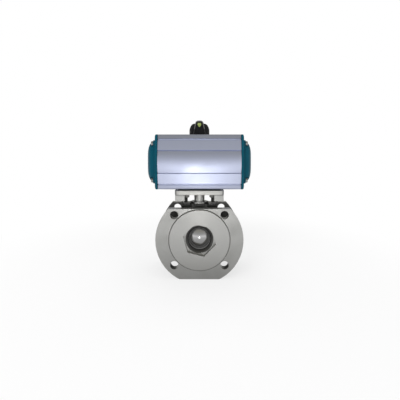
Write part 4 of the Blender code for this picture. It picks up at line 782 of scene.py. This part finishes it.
for end_name, end in (("front", -1), ("back", 1)):
    arrow = bmesh.new()
    outline = [(-ARROW_TOP_HALF_WIDTH, ARROW_TOP), (-ARROW_HALF_WIDTH, ARROW_SHOULDER), (0, ARROW_TIP),
               (ARROW_HALF_WIDTH, ARROW_SHOULDER), (ARROW_TOP_HALF_WIDTH, ARROW_TOP)]
    corners = [arrow.verts.new((x, end * ARROW_CUT_START, dome_low.z + z)) for x, z in outline]
    plate = arrow.faces.new(corners)
    pushed = bmesh.ops.extrude_face_region(arrow, geom=[plate])["geom"]
    moved = [part for part in pushed if isinstance(part, bmesh.types.BMVert)]
    bmesh.ops.translate(arrow, verts=moved, vec=(0, end * ARROW_CUT_LENGTH, 0))
    bmesh.ops.recalc_face_normals(arrow, faces=arrow.faces)
    let_in(f"{end_name}_arrow", arrow, ARROW, "acetal", ARROW_PROUD, ARROW_THICKNESS)
dress(SCREW_STEEL, "indicator_screw")


# Studio: a plain pale floor and backdrop, a soft key from the upper left, a weaker fill and a wide
# soft light overhead. Metal also sees a narrow strip on the floor, and a dim ceiling.

CAMERA_PLACE = (0.0, -0.4438, 0.2129)
CAMERA_DIP = math.radians(0.91)
FOCAL_PIXELS = 232.3
PHOTO_SIZE = 400
OBJECT_AXIS_COLUMN = 199.4
HORIZON_ROW = 161.9
FLOOR_SIZE = 12.0
FLOOR_WHITE = (0.86, 0.86, 0.86, 1)
MIRROR_SHARE = 0.85
SOFT_LIGHT = 0.45
STRIP_PLACE = (0.0, -0.70, 0.004)
STRIP_TARGET = (0.0, -0.6999, 1.0)

# Painted shadow: in reflections the floor glows darker near the object and fades to white farther away.
FLOOR_SHADOW_TONES = ((0.0, 0.32), (0.10, 0.48), (0.24, 0.66), (0.45, 0.86), (0.80, 1.0))
SHADOW_REACH = (0.20, 0.55)
SHADOW_SHARE = 0.30

floor_material = bpy.data.materials.new("pale floor")
floor_material.use_nodes = True
floor_tree = floor_material.node_tree
floor_paint = floor_tree.nodes["Principled BSDF"]
floor_paint.inputs["Base Color"].default_value = FLOOR_WHITE
floor_paint.inputs["Roughness"].default_value = 0.9
floor_paint.inputs["Specular IOR Level"].default_value = 0.1
floor_place = add_node(floor_tree, "ShaderNodeTexCoord").outputs["Object"]
floor_length = add_node(floor_tree, "ShaderNodeVectorMath", {0: floor_place}, operation="LENGTH")
from_object = floor_length.outputs["Value"]


def tone_ramp(tree, value, tones):
    """A grey or coloured ramp through (position, tone) stops."""
    ramp = add_node(tree, "ShaderNodeValToRGB", {0: value})
    stops = ramp.color_ramp.elements
    while len(stops) < len(tones):
        stops.new(0.5)
    for stop, (position, tone) in zip(stops, tones):
        stop.position = position
        stop.color = (*tone, 1) if isinstance(tone, tuple) else (tone, tone, tone, 1)
    return ramp.outputs[0]


floor_path = add_node(floor_tree, "ShaderNodeLightPath").outputs
mirrored_floor = add_node(floor_tree, "ShaderNodeEmission",
                          {"Color": tone_ramp(floor_tree, from_object, FLOOR_SHADOW_TONES)})
white_floor = add_node(floor_tree, "ShaderNodeEmission", {"Color": (1, 1, 1, 1), "Strength": 1.0})
past_shadow = add_node(floor_tree, "ShaderNodeMapRange",
                       {"Value": from_object, "From Min": SHADOW_REACH[0], "From Max": SHADOW_REACH[1],
                        "To Min": 1 - SHADOW_SHARE, "To Max": 1.0}, interpolation_type="SMOOTHSTEP")
white_share = add_node(floor_tree, "ShaderNodeMath",
                       {0: floor_path["Is Camera Ray"], 1: past_shadow.outputs[0]}, operation="MULTIPLY")
seen_floor = add_node(floor_tree, "ShaderNodeMixShader",
                      {0: white_share.outputs[0], 1: floor_paint.outputs[0], 2: white_floor.outputs[0]})
mirror_rays = add_node(floor_tree, "ShaderNodeMath",
                       {0: floor_path["Is Glossy Ray"], 1: floor_path["Is Transmission Ray"]},
                       operation="MAXIMUM")
mirror_share = add_node(floor_tree, "ShaderNodeMath", {0: mirror_rays.outputs[0], 1: MIRROR_SHARE},
                        operation="MULTIPLY")
whole_floor = add_node(floor_tree, "ShaderNodeMixShader",
                       {0: mirror_share.outputs[0], 1: seen_floor.outputs[0], 2: mirrored_floor.outputs[0]})
floor_tree.links.new(whole_floor.outputs[0], floor_tree.nodes["Material Output"].inputs["Surface"])

floor_bm = bmesh.new()
bmesh.ops.create_grid(floor_bm, x_segments=1, y_segments=1, size=FLOOR_SIZE / 2)
floor_mesh = bpy.data.meshes.new("floor")
floor_bm.to_mesh(floor_mesh)
floor_bm.free()
floor_mesh.materials.append(floor_material)
floor = bpy.data.objects.new("floor", floor_mesh)
bpy.context.scene.collection.objects.link(floor)
floor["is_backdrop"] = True

STUDIO_TONES = ((0.0, 0.45), (0.49, 0.9), (0.505, 0.82), (0.54, 0.62), (0.62, (0.50, 0.50, 0.49)),
                (0.75, (0.40, 0.39, 0.35)), (0.92, (0.36, 0.35, 0.31)), (1.0, (0.36, 0.35, 0.31)))
world = bpy.data.worlds.new("studio")
bpy.context.scene.world = world
world.use_nodes = True
sky = world.node_tree
sky.nodes.clear()
direction = add_node(sky, "ShaderNodeTexCoord").outputs["Generated"]
height = add_node(sky, "ShaderNodeSeparateXYZ", {0: direction}).outputs["Z"]
level = add_node(sky, "ShaderNodeMapRange", {"Value": height, "From Min": -1.0, "From Max": 1.0})
sky_path = add_node(sky, "ShaderNodeLightPath").outputs
backdrop = add_node(sky, "ShaderNodeBackground", {"Color": (1, 1, 1, 1), "Strength": 1.0})
reflected = add_node(sky, "ShaderNodeBackground",
                     {"Color": tone_ramp(sky, level.outputs[0], STUDIO_TONES)})
soft_light = add_node(sky, "ShaderNodeBackground", {"Color": (1, 1, 1, 1), "Strength": SOFT_LIGHT})
sky_mirror = add_node(sky, "ShaderNodeMath",
                      {0: sky_path["Is Glossy Ray"], 1: sky_path["Is Transmission Ray"]},
                      operation="MAXIMUM")
lit = add_node(sky, "ShaderNodeMixShader",
               {0: sky_mirror.outputs[0], 1: soft_light.outputs[0], 2: reflected.outputs[0]})
seen = add_node(sky, "ShaderNodeMixShader",
                {0: sky_path["Is Camera Ray"], 1: lit.outputs[0], 2: backdrop.outputs[0]})
add_node(sky, "ShaderNodeOutputWorld", {"Surface": seen.outputs[0]})


def softbox(name, place, target, width, height, power, in_metal=False):
    """An area lamp aimed at a point. Only the strip shows in the metal."""
    lamp = bpy.data.lights.new(name, "AREA")
    lamp.shape = "RECTANGLE"
    lamp.size = width
    lamp.size_y = height
    lamp.energy = power
    carrier = bpy.data.objects.new(name, lamp)
    bpy.context.scene.collection.objects.link(carrier)
    carrier.location = place
    carrier.rotation_euler = (Vector(target) - Vector(place)).to_track_quat("-Z", "Y").to_euler()
    carrier.visible_camera = False
    carrier.visible_glossy = in_metal


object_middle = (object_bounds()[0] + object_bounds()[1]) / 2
softbox("key", (-0.9, -1.3, 1.1), object_middle, 0.9, 0.9, 14)
softbox("fill", (1.3, -1.0, 0.5), object_middle, 1.0, 1.0, 6)
softbox("overhead", (0.0, 0.1, 1.4), object_middle, 0.9, 0.9, 8)
softbox("strip", STRIP_PLACE, STRIP_TARGET, 0.04, 0.9, 0.6, in_metal=True)

camera_data = bpy.data.cameras.new("camera")
camera = bpy.data.objects.new("camera", camera_data)
bpy.context.scene.collection.objects.link(camera)
camera.location = CAMERA_PLACE
camera.rotation_euler = (math.pi / 2 - CAMERA_DIP, 0, 0)
camera_data.sensor_width = 36.0
camera_data.lens = FOCAL_PIXELS / PHOTO_SIZE * camera_data.sensor_width
camera_data.shift_x = (PHOTO_SIZE / 2 - OBJECT_AXIS_COLUMN) / PHOTO_SIZE
camera_data.shift_y = (HORIZON_ROW - PHOTO_SIZE / 2) / PHOTO_SIZE
bpy.context.scene.camera = camera
bpy.context.scene.view_settings.view_transform = "Standard"
